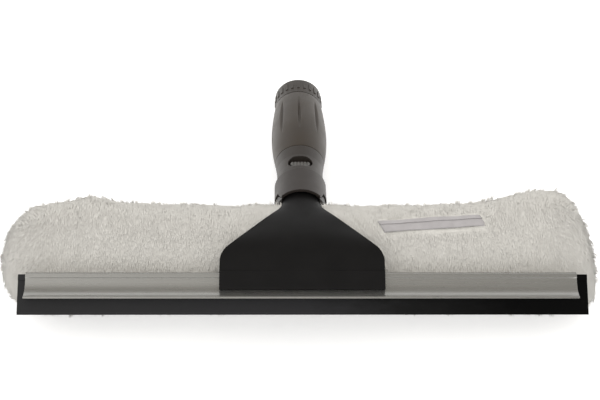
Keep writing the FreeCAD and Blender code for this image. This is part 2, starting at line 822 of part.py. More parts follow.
def fan_sheet(grow=0.0, inward=0.0):
    """The bracket's curved sheet, wider than its outline: a tube under the tab, then opening to a flat."""
    sections = []
    tab_share = mm.tab_drop / straight
    for share in (mm.seat_gap / straight, tab_share, 0.6, 1.0, 1.33, FAN_FLAT, 2.0):
        widening = min(share / FAN_FLAT, 1.0)
        opening = min(max((share - tab_share) / (FAN_FLAT - tab_share), 0.0), 1.0)
        spread = half_neck + 2 + (half_fan + 2 - half_neck) * widening**1.5
        crown = mm.bracket_radius * (1 + FAN_OPENING * opening + FAN_FLATTENING * opening**3)
        thickness = mm.bracket_neck_thickness
        thickness += (mm.bracket_thickness - mm.bracket_neck_thickness) * opening + inward + grow
        radius = max(crown, spread * 1.08)
        sections.append(fan_strip(share, spread, radius, thickness, grow))
    return Part.makeLoft(sections, True, False)


def fan_outline(y_foot, grow=0.0):
    """Prism of the fan's outline through the head's front."""
    top = tube_start.y + mm.collar_length
    right = [
        (half_fan + grow, y_foot, 0),
        (half_fan + grow, fan_corner_y + grow, mm.bracket_corner),
        (half_neck + grow, -mm.bracket_neck_drop + grow, mm.bracket_cove),
        (half_neck + grow, top, 0),
    ]
    left = [(-x, y, radius) for x, y, radius in reversed(right)]
    return rounded_face(right + left).extrude(Vector(0, 0, 4 * mm.blade_offset))


def about_handle(shape):
    """Takes a shape from the handle's frame to the head's frame."""
    shape.Placement = Placement(Vector(), Rotation(Vector(1, 0, 0), -90 - mm.head_angle)) * shape.Placement
    return shape


def ring_sector(outer, inner, foot, top, angle):
    """Part of a ring about the handle's axis, centred on the side that faces the user."""
    turn = Placement(Vector(0, 0, foot), Rotation(Vector(0, 0, 1), -90 - angle / 2))
    sector = Part.makeCylinder(outer, top - foot, Vector(), Vector(0, 0, 1), angle)
    sector = sector.cut(Part.makeCylinder(inner, top - foot))
    sector.Placement = turn * sector.Placement
    return about_handle(sector)


fan = fan_sheet().common(fan_outline(lip_foot))
rib_sink = mm.bracket_neck_thickness / 2
ribs = fan_sheet(-rib_sink, mm.rib_depth + rib_sink).common(fan_outline(lip_foot))
rib_reach = mm.rib_pitch * (mm.rib_count - 1) / 2
rib_top = tube_start.y - straight * math.cos(bend)
rib_slabs = []
for index in range(int(mm.rib_count)):
    rib_slab = slab(lip_foot, rib_top, 0, lip_outer, mm.rib_width / 2)
    rib_slabs.append(rib_slab.translated(Vector(index * mm.rib_pitch - rib_reach, 0, 0)))
ribs = ribs.common(Part.makeCompound(rib_slabs))
lip = slab(lip_foot, jaw_foot.value, lip_inner, lip_outer, half_fan)
jaw = slab(jaw_foot.value, jaw_foot.value + mm.jaw_top, clamp_front.value, lip_inner, half_fan)
tongue_outer = socket_radius.value - mm.fit_gap
tongue_inner = tongue_outer - mm.bracket_neck_thickness
tongue = ring_sector(tongue_outer, tongue_inner, -mm.tongue_root, mm.tongue_length, mm.tongue_angle)
bracket = doc.addObject("Part::Feature", "squeegee_bracket")
bracket.Label = "squeegee_bracket"
bracket.Shape = fan.fuse([ribs, lip, jaw, tongue]).removeSplitter()


# Fleece sleeve: padded tube over the T-bar, fuller at the ends of the bar, cut where the neck comes out
half_height = mm.sleeve_height / 2
half_depth = mm.sleeve_thickness / 2


def oval_arcs(a, b, r):
    """Side radius of an oval of two end arcs and two side arcs, and where they meet, from its centre."""
    side_radius = ((a - r) ** 2 + b**2 - r**2) / (2 * (b - r))
    share_y = (a - r) / (side_radius - r)
    share_z = (side_radius - b) / (side_radius - r)
    return side_radius, a - r + r * share_y, r * share_z


def oval(x, y, z, a, b, r):
    """Oval section of the sleeve across the T-bar, in short straight runs along its arcs."""
    side_radius, _, joint_z = oval_arcs(a, b, r)
    turn = math.asin(joint_z / r)
    steps = [step / OVAL_STEPS for step in range(1, OVAL_STEPS + 1)]
    quarter = [(a, 0.0)]
    for angle in [turn * step for step in steps]:
        quarter.append((a - r + r * math.cos(angle), r * math.sin(angle)))
    for angle in [turn + (math.pi / 2 - turn) * step for step in steps]:
        quarter.append((side_radius * math.cos(angle), b - side_radius + side_radius * math.sin(angle)))
    half = quarter + [(-up, out) for up, out in reversed(quarter[:-1])]
    ring = half + [(up, -out) for up, out in reversed(half[1:-1])]
    return Part.makePolygon([Vector(x, y + up, z + out) for up, out in ring + ring[:1]])


def sleeve_section(x, ear, height_share, depth_share):
    a = (half_height + ear / 2) * height_share
    b = half_depth * depth_share
    return oval(x, ear / 2 - mm.bar_drop, mm.bar_offset, a, b, min(mm.sleeve_edge_radius, 0.8 * b))


def sleeve_solid():
    body_end = mm.sleeve_length / 2 - mm.sleeve_end_length
    ear_start = body_end - mm.sleeve_ear_length
    half = [(ear_start, 0, 1, 1), (body_end, mm.sleeve_ear, 1, 1)]
    for share in (0.5, 0.8, 0.96):
        place = body_end + mm.sleeve_end_length * share
        half.append((place, mm.sleeve_ear, math.sqrt(1 - share**2), math.sqrt(1 - share**3)))
    stations = [(-x, *rest) for x, *rest in reversed(half)] + half
    return Part.makeLoft([sleeve_section(*station) for station in stations], True, True)


def sleeve_reach(height, depth):
    """How far the sleeve's section reaches from its centre in a direction of the head's plane."""
    radius = mm.sleeve_edge_radius
    side_radius, joint_y, joint_z = oval_arcs(half_height, half_depth, radius)
    if abs(height) * joint_z > abs(depth) * (joint_y - half_height + radius):
        return (half_height - radius) * abs(height) + radius
    return side_radius - (side_radius - half_depth) * abs(depth)


def handle_depth(tilt):
    """Depth of the end band's lower edge under the origin, when the handle's end dips by the tilt."""
    bar_end = band_level.value + mm.knurl_length / 2
    corners = [
        (handle_top.value - mm.band_edge, mm.band_radius),
        (handle_top.value, mm.band_radius - mm.band_edge),
        (bar_end, mm.band_radius + mm.knurl_relief),
    ]
    return max(along * math.sin(tilt) + radius * math.cos(tilt) for along, radius in corners)


def sleeve_depth(tilt):
    """Depth of the sleeve's flat under the origin, at the same tilt."""
    lean = math.radians(mm.head_angle) - tilt
    centre = mm.bar_drop * math.sin(lean) - mm.bar_offset * math.cos(lean)
    return centre + sleeve_reach(math.sin(lean), math.cos(lean)) - mm.sleeve_flat


# The tool lies on its sleeve and the end of its handle: the tilt at which both are equally deep
low, high = 0.0, math.radians(mm.head_angle)
for _ in range(60):
    rest_tilt = (low + high) / 2
    if handle_depth(rest_tilt) < sleeve_depth(rest_tilt):
        low = rest_tilt
    else:
        high = rest_tilt
rest_depth = handle_depth(rest_tilt)
handle_turn = Rotation(Vector(1, 0, 0), -90 - math.degrees(rest_tilt))
head_turn = Rotation(Vector(1, 0, 0), mm.head_angle - math.degrees(rest_tilt))


def neck_wire(radius, flat):
    """The T-bar's round section with a flat front, at the collar, in the head's frame."""
    half = math.sqrt(radius**2 - flat**2)
    points = [(-half, flat), (half, flat), (0, -radius)]
    side = radius * math.cos(ROUND_TURN)
    mids = [(side, -radius * math.sin(ROUND_TURN)), (-side, -radius * math.sin(ROUND_TURN))]
    left, right, back = (head_point(x, 0, across) for x, across in points)
    right_mid, left_mid = (head_point(x, 0, across) for x, across in mids)
    return Part.Wire([
        Part.LineSegment(left, right).toShape(),
        Part.Arc(right, right_mid, back).toShape(),
        Part.Arc(back, left_mid, left).toShape(),
    ])


def root_wire(grow):
    """The T-bar's section where its neck meets the plate."""
    y, half = bar_top.value - mm.slide_gap, root_half.value + 2 * grow
    front, back = root_front.value + grow, root_back.value - grow
    bulge = mm.root_curve - math.sqrt(mm.root_curve**2 - (half**2 + (front - back) ** 2) / 4)
    across = Vector(front - back, 0, half).normalize() * bulge
    middle = Vector(half / 2, y, (front + back) / 2)
    left, right, back = Vector(-half, y, front), Vector(half, y, front), Vector(0, y, back)
    right_mid = middle + Vector(across.x, 0, -across.z)
    left_mid = Vector(-right_mid.x, y, right_mid.z)
    return Part.Wire([
        Part.LineSegment(left, right).toShape(),
        Part.Arc(right, right_mid, back).toShape(),
        Part.Arc(back, left_mid, left).toShape(),
    ])


gap = mm.soft_gap
neck_ends = [neck_wire(mm.shoulder_radius + 2 * gap, mm.shoulder_flat + 2 * gap), root_wire(2 * gap)]
neck_room = Part.makeLoft(neck_ends, True, False)
lug_foot = -mm.lug_drop - 2 * gap
lug_height = mm.lug_drop + mm.collar_length
lug_room = Part.makeCylinder(mm.shoulder_radius + 2 * gap, lug_height, Vector(0, 0, lug_foot))
lug_room = about_handle(lug_room)
bar_room = Part.makeBox(mm.bar_length + 2 * gap, mm.bar_height + 2 * gap, mm.bar_thickness + 2 * gap)
bar_room.translate(Vector(-mm.bar_length / 2 - gap, bar_foot.value - gap, root_back.value - gap))
fan_room = fan_sheet(2 * gap, mm.rib_depth).common(fan_outline(lip_foot, 2 * gap))
floor = Part.makeBox(2 * mm.sleeve_length, 2 * mm.sleeve_length, mm.sleeve_length)
floor.translate(Vector(-mm.sleeve_length, -mm.sleeve_length, -rest_depth - mm.sleeve_length))
floor.Placement = Placement(Vector(), head_turn.inverted()) * floor.Placement
sleeve = doc.addObject("Part::Feature", "fleece_sleeve")
sleeve.Label = "fleece_sleeve"
sleeve.Shape = sleeve_solid().cut([neck_room, lug_room, bar_room, fan_room, floor])


# Care label on the sleeve's front
label = new_body("care_label")
label_sketch = box_outline(
    new_sketch(label, "label_outline", "XY_Plane"),
    -size.label_length / 2, size.label_length / 2, -size.label_width / 2, size.label_width / 2,
)
extrude(label, "Pad", "label_strip", label_sketch, size.label_thickness)
label_turn = math.radians(mm.label_turn)
side_radius, _, _ = oval_arcs(half_height, half_depth, mm.sleeve_edge_radius)
label_out = Vector(0, math.cos(label_turn), math.sin(label_turn))
label_place = mm.sleeve_length / 2 - mm.label_inset - mm.label_length / 2
label_seat = Vector(label_place, -mm.bar_drop, mm.bar_offset - side_radius + half_depth)
label_seat += label_out * (side_radius + gap)
label_lay = Rotation(Vector(1, 0, 0), mm.label_turn - 90) * Rotation(Vector(0, 0, 1), mm.label_tilt)


# The whole tool at rest: origin on the floor under the middle of its box
doc.recompute()
handle_pieces = [hub, core, grip, band, button, spring]
head_pieces = [t_bar, channel, rubber, clamp, bracket, sleeve]
resting = [(piece, Placement(Vector(), handle_turn)) for piece in handle_pieces]
resting += [(piece, Placement(Vector(), head_turn)) for piece in head_pieces]
resting.append((label, Placement(Vector(), head_turn) * Placement(label_seat, label_lay)))
for piece, placement in resting:
    piece.Placement = placement
doc.recompute()
box = Part.makeCompound([piece.Shape for piece, _ in resting]).optimalBoundingBox(False, False)
lift = Placement(Vector(-(box.XMin + box.XMax) / 2, -(box.YMin + box.YMax) / 2, rest_depth), Rotation())
for piece, placement in resting:
    piece.Placement = lift * placement
doc.recompute()

for item in doc.Objects:
    if "Invalid" in item.State or "Error" in item.State:
        raise RuntimeError(f"{item.Label} failed: {item.State}")
for piece, _ in resting:
    if piece.Shape.isNull() or not piece.Shape.isValid() or len(piece.Shape.Solids) != 1:
        raise RuntimeError(f"{piece.Label} is not one valid solid")

os.makedirs("parts", exist_ok=True)
for piece, _ in resting:
    piece.Shape.exportStep(f"parts/{piece.Label}.step")
print(f"rest tilt {math.degrees(rest_tilt):.4f} deg, origin of the frames at {lift.Base}")
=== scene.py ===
"""Looks of a window scrubber: fleece sleeve, squeegee blade on a fan-shaped bracket, fluted handle."""
import json
import math

import bpy
import numpy as np
from mathutils import Matrix, Vector
from mathutils.bvhtree import BVHTree


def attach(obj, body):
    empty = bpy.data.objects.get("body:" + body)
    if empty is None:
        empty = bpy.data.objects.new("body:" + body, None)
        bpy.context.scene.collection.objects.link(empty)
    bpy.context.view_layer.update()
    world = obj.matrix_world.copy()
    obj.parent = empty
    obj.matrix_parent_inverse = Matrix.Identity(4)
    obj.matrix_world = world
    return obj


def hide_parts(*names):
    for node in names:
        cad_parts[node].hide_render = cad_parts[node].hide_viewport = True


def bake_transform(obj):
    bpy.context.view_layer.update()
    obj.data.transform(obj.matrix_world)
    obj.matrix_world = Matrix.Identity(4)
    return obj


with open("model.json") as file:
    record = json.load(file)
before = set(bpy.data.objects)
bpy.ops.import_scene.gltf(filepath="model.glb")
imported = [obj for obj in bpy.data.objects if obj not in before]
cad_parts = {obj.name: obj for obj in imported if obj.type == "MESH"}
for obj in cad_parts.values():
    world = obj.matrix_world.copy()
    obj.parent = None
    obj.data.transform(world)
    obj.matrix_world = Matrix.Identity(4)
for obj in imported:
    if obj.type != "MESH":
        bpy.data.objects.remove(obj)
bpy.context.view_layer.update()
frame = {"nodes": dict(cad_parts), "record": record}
nodes = frame["nodes"]
scene = bpy.context.scene
scene.view_settings.view_transform = "Standard"
MM = 0.001
TOOL = "tool"

# Guards against division by zero
TINY = 1e-12
SMALL = 1e-9
NUDGE = 1e-6

# The handle's axis comes from the pole socket; the head leans from it by a fixed angle
HEAD_ANGLE = math.radians(40)
SOCKET_TO_ORIGIN = 98 * MM
socket = next(mount for mount in frame["record"]["mounts"] if mount["name"] == "pole_socket")
ALONG = Vector(socket["axis"]).normalized()
ORIGIN = Vector(socket["pos_m"]) - ALONG * SOCKET_TO_ORIGIN
TILT = math.asin(-ALONG.z)
FRONT = Vector((0, math.sin(TILT), math.cos(TILT)))
LEAN = HEAD_ANGLE - TILT
UP = Vector((0, math.cos(LEAN), math.sin(LEAN)))
OUT = Vector((0, -math.sin(LEAN), math.cos(LEAN)))

# The same as rows, for whole arrays of points
ORIGIN_ROW, ALONG_ROW = np.array(ORIGIN), np.array(ALONG)
UP_ROW, OUT_ROW = np.array(UP), np.array(OUT)


# Materials: the darker and the lighter tone of each surface, and how they are shaded

COLLAR_TONES = ((0.027, 0.021, 0.018), (0.036, 0.029, 0.025))
CORE_TONES = ((0.032, 0.026, 0.022), (0.042, 0.035, 0.030))
GRIP_TONES = ((0.038, 0.029, 0.021), (0.049, 0.038, 0.028))
BAND_TONES = ((0.036, 0.029, 0.023), (0.047, 0.038, 0.031))
BRACKET_TONES = ((0.004, 0.0038, 0.0038), (0.0065, 0.006, 0.006))
# T-bar's plastic set greyer than the other black parts: painted highlight for the light its lugs catch
BAR_PAINTED_HIGHLIGHT_TONES = ((0.058, 0.055, 0.053), (0.074, 0.070, 0.067))
BUTTON_TONES = ((0.105, 0.10, 0.094), (0.15, 0.145, 0.137))
ALUMINIUM_TONES = ((0.43, 0.425, 0.405), (0.455, 0.45, 0.43))
STEEL_TONES = ((0.50, 0.50, 0.50), (0.62, 0.61, 0.60))
FLEECE_TONES = ((0.75, 0.732, 0.69), (0.79, 0.772, 0.73))
SATIN_TONES = ((0.43, 0.41, 0.415), (0.50, 0.48, 0.485))
# Rubber colour from its left end to its right: painted reflection, lighter on the left, near black on the
# right
RUBBER_PAINTED_REFLECTION = (
    (0.10, (0.030, 0.030, 0.031)),
    (0.60, (0.027, 0.027, 0.029)),
    (0.75, (0.010, 0.010, 0.010)),
    (0.95, (0.0006, 0.0006, 0.0006)),
)
RUBBER_HALF = 175 * MM
# Noise that breaks up the painted reflection along the rubber
PAINTED_REFLECTION_CLOUD = 0.16
BRACKET_GLOSS = (0.42, 0.52)
BRACKET_SHINE = 0.23
BAND_EDGE = 0.2 * MM


def ramp_node(tree, factor, *stops):
    """Ramp from (position, colour or grey) stops."""
    node = tree.nodes.new("ShaderNodeValToRGB")
    elements = node.color_ramp.elements
    while len(elements) < len(stops):
        elements.new(0.5)
    for element, (position, colour) in zip(elements, stops):
        element.position = position
        element.color = (*colour, 1) if hasattr(colour, "__len__") else (colour, colour, colour, 1)
    tree.links.new(factor, node.inputs["Fac"])
    return node.outputs["Color"]


class Shader:
    """A material's node tree with short calls for the nodes used here."""

    def __init__(self, name):
        self.material = bpy.data.materials.new(name)
        self.material.use_nodes = True
        self.tree = self.material.node_tree
        self.bsdf = self.tree.nodes["Principled BSDF"]
        self.place = self.add("ShaderNodeTexCoord").outputs["Object"]

    def add(self, kind, **values):
        node = self.tree.nodes.new(kind)
        for key, value in values.items():
            setattr(node, key, value)
        return node

    def link(self, output, target):
        self.tree.links.new(output, target)

    def set(self, **values):
        for key, value in values.items():
            self.bsdf.inputs[key.replace("_", " ")].default_value = value

    def stretched(self, scale):
        mapping = self.add("ShaderNodeMapping")
        mapping.inputs["Scale"].default_value = scale
        self.link(self.place, mapping.inputs["Vector"])
        return mapping.outputs["Vector"]

    def noise(self, scale, detail=2.0, roughness=0.5, stretch=None):
        node = self.add("ShaderNodeTexNoise")
        node.inputs["Scale"].default_value = scale
        node.inputs["Detail"].default_value = detail
        node.inputs["Roughness"].default_value = roughness
        self.link(self.stretched(stretch) if stretch else self.place, node.inputs["Vector"])
        return node.outputs["Fac"]

    def colour(self, factor, tones, spread=0.25):
        """Base colour that drifts between two close tones."""
        dark, light = tones
        tone = ramp_node(self.tree, factor, (0.5 - spread, dark), (0.5 + spread, light))
        self.link(tone, self.bsdf.inputs["Base Color"])

    def roughness(self, factor, low, high):
        self.link(ramp_node(self.tree, factor, (0.3, low), (0.7, high)), self.bsdf.inputs["Roughness"])

    def bump(self, *layers, edge=None):
        """Bump from (height, strength, distance) layers over each other, edges softened by a radius."""
        normal = None
        if edge:
            bevel = self.add("ShaderNodeBevel")
            bevel.inputs["Radius"].default_value = edge
            normal = bevel.outputs["Normal"]
        for height, strength, distance in layers:
            node = self.add("ShaderNodeBump")
            node.inputs["Strength"].default_value = strength
            node.inputs["Distance"].default_value = distance
            self.link(height, node.inputs["Height"])
            if normal is not None:
                self.link(normal, node.inputs["Normal"])
            normal = node.outputs["Normal"]
        self.link(normal, self.bsdf.inputs["Normal"])


def moulded_plastic(name, tones, gloss=(0.36, 0.46), edge=0.5 * MM, shine=0.5):
    """Black moulded plastic with a fine spark texture and faint handling marks."""
    shader = Shader(name)
    shader.colour(shader.noise(60, detail=4), tones)
    shader.roughness(shader.noise(90, detail=5, roughness=0.6), *gloss)
    grain = shader.noise(3200, roughness=0.6)
    ripple = shader.noise(120)
    shader.bump((ripple, 0.25, 0.1 * MM), (grain, 0.22, 0.03 * MM), edge=edge)
    shader.set(IOR=1.47, Specular_IOR_Level=shine)
    return shader.material


def anodised_aluminium():
    """Satin aluminium with fine lines along the extrusion."""
    shader = Shader("channel_aluminium")
    lines = shader.noise(1.0, detail=3, roughness=0.6, stretch=(6, 2600, 2600))
    streaks = shader.noise(1.0, detail=3, roughness=0.6, stretch=(20, 900, 900))
    shader.colour(lines, ALUMINIUM_TONES)
    shader.roughness(streaks, 0.25, 0.32)
    shader.bump((lines, 0.10, 0.01 * MM), edge=0.25 * MM)
    shader.set(Metallic=0.82)
    return shader.material


def blade_rubber():
    """Black rubber, its colour lighter towards the left end and near black at the right as a painted
    reflection, with faint lines along its length.
    """
    shader = Shader("blade_rubber")
    split = shader.add("ShaderNodeSeparateXYZ")
    shader.link(shader.place, split.inputs["Vector"])
    reach = shader.add("ShaderNodeMapRange")
    reach.inputs["From Min"].default_value = -RUBBER_HALF
    reach.inputs["From Max"].default_value = RUBBER_HALF
    shader.link(split.outputs["X"], reach.inputs["Value"])
    cloud = shader.add("ShaderNodeMath", operation="MULTIPLY_ADD")
    cloud.inputs[1].default_value = PAINTED_REFLECTION_CLOUD
    shader.link(shader.noise(60, detail=5, roughness=0.65, stretch=(1, 3, 3)), cloud.inputs[0])
    shader.link(reach.outputs["Result"], cloud.inputs[2])
    # Painted reflection: the colour runs from lighter at the left end to near black at the right
    painted_reflection = ramp_node(shader.tree, cloud.outputs["Value"], *RUBBER_PAINTED_REFLECTION)
    shader.link(painted_reflection, shader.bsdf.inputs["Base Color"])
    shader.roughness(shader.noise(140, detail=4, roughness=0.6), 0.46, 0.58)
    lines = shader.noise(1.0, stretch=(14, 1500, 1500))
    grain = shader.noise(2400)
    shader.bump((lines, 0.12, 0.03 * MM), (grain, 0.15, 0.02 * MM), edge=0.25 * MM)
    shader.set(Specular_IOR_Level=0.1)
    return shader.material


def grey_plastic():
    """Dark grey plastic of the button."""
    shader = Shader("button_plastic")
    shader.colour(shader.noise(300, detail=3), BUTTON_TONES)
    shader.roughness(shader.noise(200, detail=3), 0.35, 0.5)
    shader.bump((shader.noise(3000), 0.2, 0.02 * MM), edge=0.3 * MM)
    return shader.material


def spring_steel():
    """Bright rolled strip with lines along it."""
    shader = Shader("spring_steel")
    lines = shader.noise(1.0, detail=3, roughness=0.6, stretch=(400, 3000, 3000))
    shader.colour(lines, STEEL_TONES)
    shader.roughness(shader.noise(150, detail=3), 0.25, 0.4)
    shader.bump((lines, 0.2, 0.02 * MM))
    shader.set(Metallic=1.0)
    return shader.material


def fleece_fibre(name):
    """Off-white polyester pile: tone drifts in fine streaks along the combed fibres, soft sheen."""
    shader = Shader(name)
    streaks = shader.noise(1.0, detail=3, roughness=0.6, stretch=(420, 110, 110))
    shader.colour(streaks, FLEECE_TONES, spread=0.2)
    shader.roughness(shader.noise(200, detail=3), 0.85, 0.95)
    shader.set(Sheen_Weight=0.2, Sheen_Roughness=0.5, IOR=1.4, Specular_IOR_Level=0.2)
    shader.bump((shader.noise(1500), 0.1, 0.05 * MM))
    return shader.material


def satin_ribbon():
    """Woven satin of the care label: fine threads both ways under a soft shine."""
    shader = Shader("label_satin")
    shader.colour(shader.noise(180, detail=3), SATIN_TONES)
    warp = shader.noise(1.0, detail=1, stretch=(500, 4500, 4500))
    weft = shader.noise(1.0, detail=1, stretch=(4500, 600, 600))
    shader.bump((warp, 0.3, 0.04 * MM), (weft, 0.3, 0.04 * MM))
    shader.set(Roughness=0.42, Sheen_Weight=0.15)
    return shader.material


# Stage: camera, pale floor, light tent and one soft lamp

# The camera is turned about a point of the tool; distance in metres, lens in millimetres
CAMERA_YAW = math.radians(-1.667)
CAMERA_ELEVATION = math.radians(47.681)
CAMERA_ROLL = math.radians(1.311)
CAMERA_DISTANCE = 0.7945
CAMERA_TARGET = Vector((-0.0001, -0.0088, 0.030))
LENS = 71.0
SENSOR = 36.0

FLOOR_SIZE = 8
FLOOR_TONE = (0.90, 0.90, 0.90, 1)
FLOOR_LIFT = 0.5
TENT_STOPS = ((0.50, (1, 1, 1)), (0.74, (0.31, 0.295, 0.27)))
WINDOW_SIDE = (-0.45, -0.30, 0.84)
WINDOW_STOPS = ((0.74, 0), (0.89, (0.18, 0.178, 0.17)), (0.97, 0.56), (1.0, 0.75))
FILL_PLACE = Vector((0.1, -0.05, 1.5))
FILL_TARGET = Vector((0, -0.03, 0.02))
FILL_SIZE = (2.4, 2.0)
FILL_WATTS = 13
FILL_TINT = (1.0, 0.985, 0.96)


def add_camera():
    """Camera that looks down on the tool from the front, with a slight roll."""
    ahead = Vector((
        -math.sin(CAMERA_YAW) * math.cos(CAMERA_ELEVATION),
        math.cos(CAMERA_YAW) * math.cos(CAMERA_ELEVATION),
        -math.sin(CAMERA_ELEVATION),
    ))
    camera = bpy.data.objects.new("camera", bpy.data.cameras.new("camera"))
    camera.data.lens = LENS
    camera.data.sensor_width = SENSOR
    turn = ahead.to_track_quat("-Z", "Y").to_matrix().to_4x4() @ Matrix.Rotation(CAMERA_ROLL, 4, "Z")
    camera.matrix_world = Matrix.Translation(CAMERA_TARGET - ahead * CAMERA_DISTANCE) @ turn
    scene.collection.objects.link(camera)
    scene.camera = camera


def floor_material():
    """Pale floor: white to the camera and to reflections, with the tool's soft shadow on it."""
    shader = Shader("floor_white")
    shader.set(Base_Color=FLOOR_TONE, Emission_Color=(1, 1, 1, 1), Roughness=0.8, Specular_IOR_Level=0.1)
    path = shader.add("ShaderNodeLightPath")
    seen = shader.add("ShaderNodeMath", operation="MAXIMUM")
    shown = shader.add("ShaderNodeMath", operation="MAXIMUM")
    lift = shader.add("ShaderNodeMath", operation="MULTIPLY")
    lift.inputs[1].default_value = FLOOR_LIFT
    shader.link(path.outputs["Is Camera Ray"], seen.inputs[0])
    shader.link(path.outputs["Is Glossy Ray"], seen.inputs[1])
    shader.link(seen.outputs["Value"], shown.inputs[0])
    shader.link(path.outputs["Is Transmission Ray"], shown.inputs[1])
    shader.link(shown.outputs["Value"], lift.inputs[0])
    shader.link(lift.outputs["Value"], shader.bsdf.inputs["Emission Strength"])
    return shader.material


def paint(piece, material):
    piece.data.materials.clear()
    piece.data.materials.append(material)


def add_stage():
    """Wide floor under the tool."""
    bpy.ops.mesh.primitive_plane_add(size=FLOOR_SIZE, location=(0, 0, 0))
    floor = bpy.context.object
    floor.name = "floor"
    paint(floor, floor_material())


def add_world():
    """Light tent: white walls all round, darker overhead, with a soft window of light high on the left."""
    world = bpy.data.worlds.new("studio")
    scene.world = world
    world.use_nodes = True
    tree = world.node_tree
    background = tree.nodes["Background"]
    place = tree.nodes.new("ShaderNodeTexCoord").outputs["Generated"]
    split = tree.nodes.new("ShaderNodeSeparateXYZ")
    tree.links.new(place, split.inputs["Vector"])
    walls = ramp_node(tree, split.outputs["Z"], *TENT_STOPS)
    facing = tree.nodes.new("ShaderNodeVectorMath")
    facing.operation = "DOT_PRODUCT"
    facing.inputs[1].default_value = WINDOW_SIDE
    tree.links.new(place, facing.inputs[0])
    window = ramp_node(tree, facing.outputs["Value"], *WINDOW_STOPS)
    both = tree.nodes.new("ShaderNodeVectorMath")
    both.operation = "ADD"
    tree.links.new(walls, both.inputs[0])
    tree.links.new(window, both.inputs[1])
    tree.links.new(both.outputs["Vector"], background.inputs["Color"])
    background.inputs["Strength"].default_value = 1.0


def add_fill():
    """Wide lamp overhead that no glossy surface mirrors."""
    lamp = bpy.data.objects.new("overhead_fill", bpy.data.lights.new("overhead_fill", "AREA"))
    lamp.data.shape = "RECTANGLE"
    lamp.data.size, lamp.data.size_y = FILL_SIZE
    lamp.data.energy = FILL_WATTS
    lamp.data.color = FILL_TINT
    lamp.location = FILL_PLACE
    lamp.rotation_euler = (FILL_TARGET - FILL_PLACE).to_track_quat("-Z", "Y").to_euler()
    lamp.visible_glossy = False
    scene.collection.objects.link(lamp)


# Meshes and directions


def add_mesh(name, mesh, material):
    piece = bpy.data.objects.new(name, mesh)
    scene.collection.objects.link(piece)
    mesh.materials.append(material)
    return piece


def mesh_piece(name, points, faces, material, smooth=True):
    mesh = bpy.data.meshes.new(name)
    mesh.from_pydata(points, [], faces)
    mesh.update()
    mesh.polygons.foreach_set("use_smooth", [smooth] * len(mesh.polygons))
    return add_mesh(name, mesh, material)


def grid_faces(rows, columns, closed_rows=False):
    """Quads of a grid of points whose columns close into rings."""
    faces = []
    for row in range(rows if closed_rows else rows - 1):
        lower = row * columns
        upper = (row + 1) % rows * columns
        for column in range(columns):
            following = (column + 1) % columns
            faces.append((lower + column, lower + following, upper + following, upper + column))
    return faces


def tube_faces(rows, columns):
    """Quads of a grid whose columns close into rings, with one face over each end."""
    faces = grid_faces(rows, columns)
    faces.append(tuple(reversed(range(columns))))
    faces.append(tuple((rows - 1) * columns + column for column in range(columns)))
    return faces


def unit(rows, guard=0.0):
    """Vectors brought to length one."""
    return rows / (np.linalg.norm(rows, axis=-1)[..., None] + guard)


# Grip: bulged shell with long leaf-shaped flutes

GRIP_FOOT = 44.4 * MM
GRIP_LENGTH = 67.4 * MM
BULGE_HEIGHT = 29.6 * MM
BULGE_RADIUS = 19.3 * MM
GRIP_FOOT_RADIUS = 16.7 * MM
GRIP_TOP_RADIUS = 17.0 * MM
GRIP_BORE = 14.1 * MM
GRIP_ROUND = 0.4 * MM
FLUTE_COUNT = 9
FLUTE_MIDDLE = 39 * MM
FLUTE_HALF = 21 * MM
FLUTE_DEPTH = 1.5 * MM
FLUTE_WIDTH = 1.5 * MM
FLUTE_TAPER = 0.7
FLUTE_STEEPNESS = 2.2
RING_STEPS = 450
GRIP_STEPS = 140
RIM_STEPS = 6


def handle_point(height, radius, angle):
    """Point about the handle's axis: angle 0 is the side that faces the user."""
    aside = Vector((radius * math.sin(angle), 0, 0))
    return ORIGIN + ALONG * height + FRONT * (radius * math.cos(angle)) + aside


def grip_radius(height):
    """Radius of the grip's skin at a height above its foot, with rounded rims."""
    if height < BULGE_HEIGHT:
        rise, run = GRIP_FOOT_RADIUS - BULGE_RADIUS, (BULGE_HEIGHT - height) / BULGE_HEIGHT
    else:
        rise, run = GRIP_TOP_RADIUS - BULGE_RADIUS, (height - BULGE_HEIGHT) / (GRIP_LENGTH - BULGE_HEIGHT)
    radius = BULGE_RADIUS + rise * run**2
    rim = min(height, GRIP_LENGTH - height)
    if rim < GRIP_ROUND:
        radius -= GRIP_ROUND - math.sqrt(GRIP_ROUND**2 - (GRIP_ROUND - rim) ** 2)
    return radius


def flute_depth(height, radius, angle):
    """Leaf-shaped hollow: deepest in its middle, pointed at both ends."""
    along = (height - FLUTE_MIDDLE) / FLUTE_HALF
    if abs(along) >= 1:
        return 0.0
    leaf = 1 - along**2
    pitch = 2 * math.pi / FLUTE_COUNT
    across = abs((angle + pitch / 2) % pitch - pitch / 2) * radius / (FLUTE_WIDTH * leaf**FLUTE_TAPER)
    return FLUTE_DEPTH * leaf * math.exp(-across**2 * FLUTE_STEEPNESS)


def add_grip(material):
    """Shell of rings from foot to top, closed along the bore."""
    straight = GRIP_LENGTH - 2 * GRIP_ROUND
    rim = [GRIP_ROUND * (1 - math.cos(math.pi / 2 * step / RIM_STEPS)) for step in range(RIM_STEPS)]
    body = [GRIP_ROUND + straight * step / GRIP_STEPS for step in range(GRIP_STEPS + 1)]
    heights = rim + body + [GRIP_LENGTH - height for height in reversed(rim)]
    angles = [2 * math.pi * step / RING_STEPS for step in range(RING_STEPS)]
    points = []
    for height in heights:
        radius = grip_radius(height)
        for angle in angles:
            depth = flute_depth(height, radius, angle)
            points.append(handle_point(GRIP_FOOT + height, radius - depth, angle))
    for height in (GRIP_FOOT + GRIP_LENGTH, GRIP_FOOT):
        points += [handle_point(height, GRIP_BORE, angle) for angle in angles]
    faces = grid_faces(len(points) // RING_STEPS, RING_STEPS, closed_rows=True)
    grip = mesh_piece("grip_shell", points, faces, material)
    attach(grip, TOOL)
    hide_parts("handle_grip")
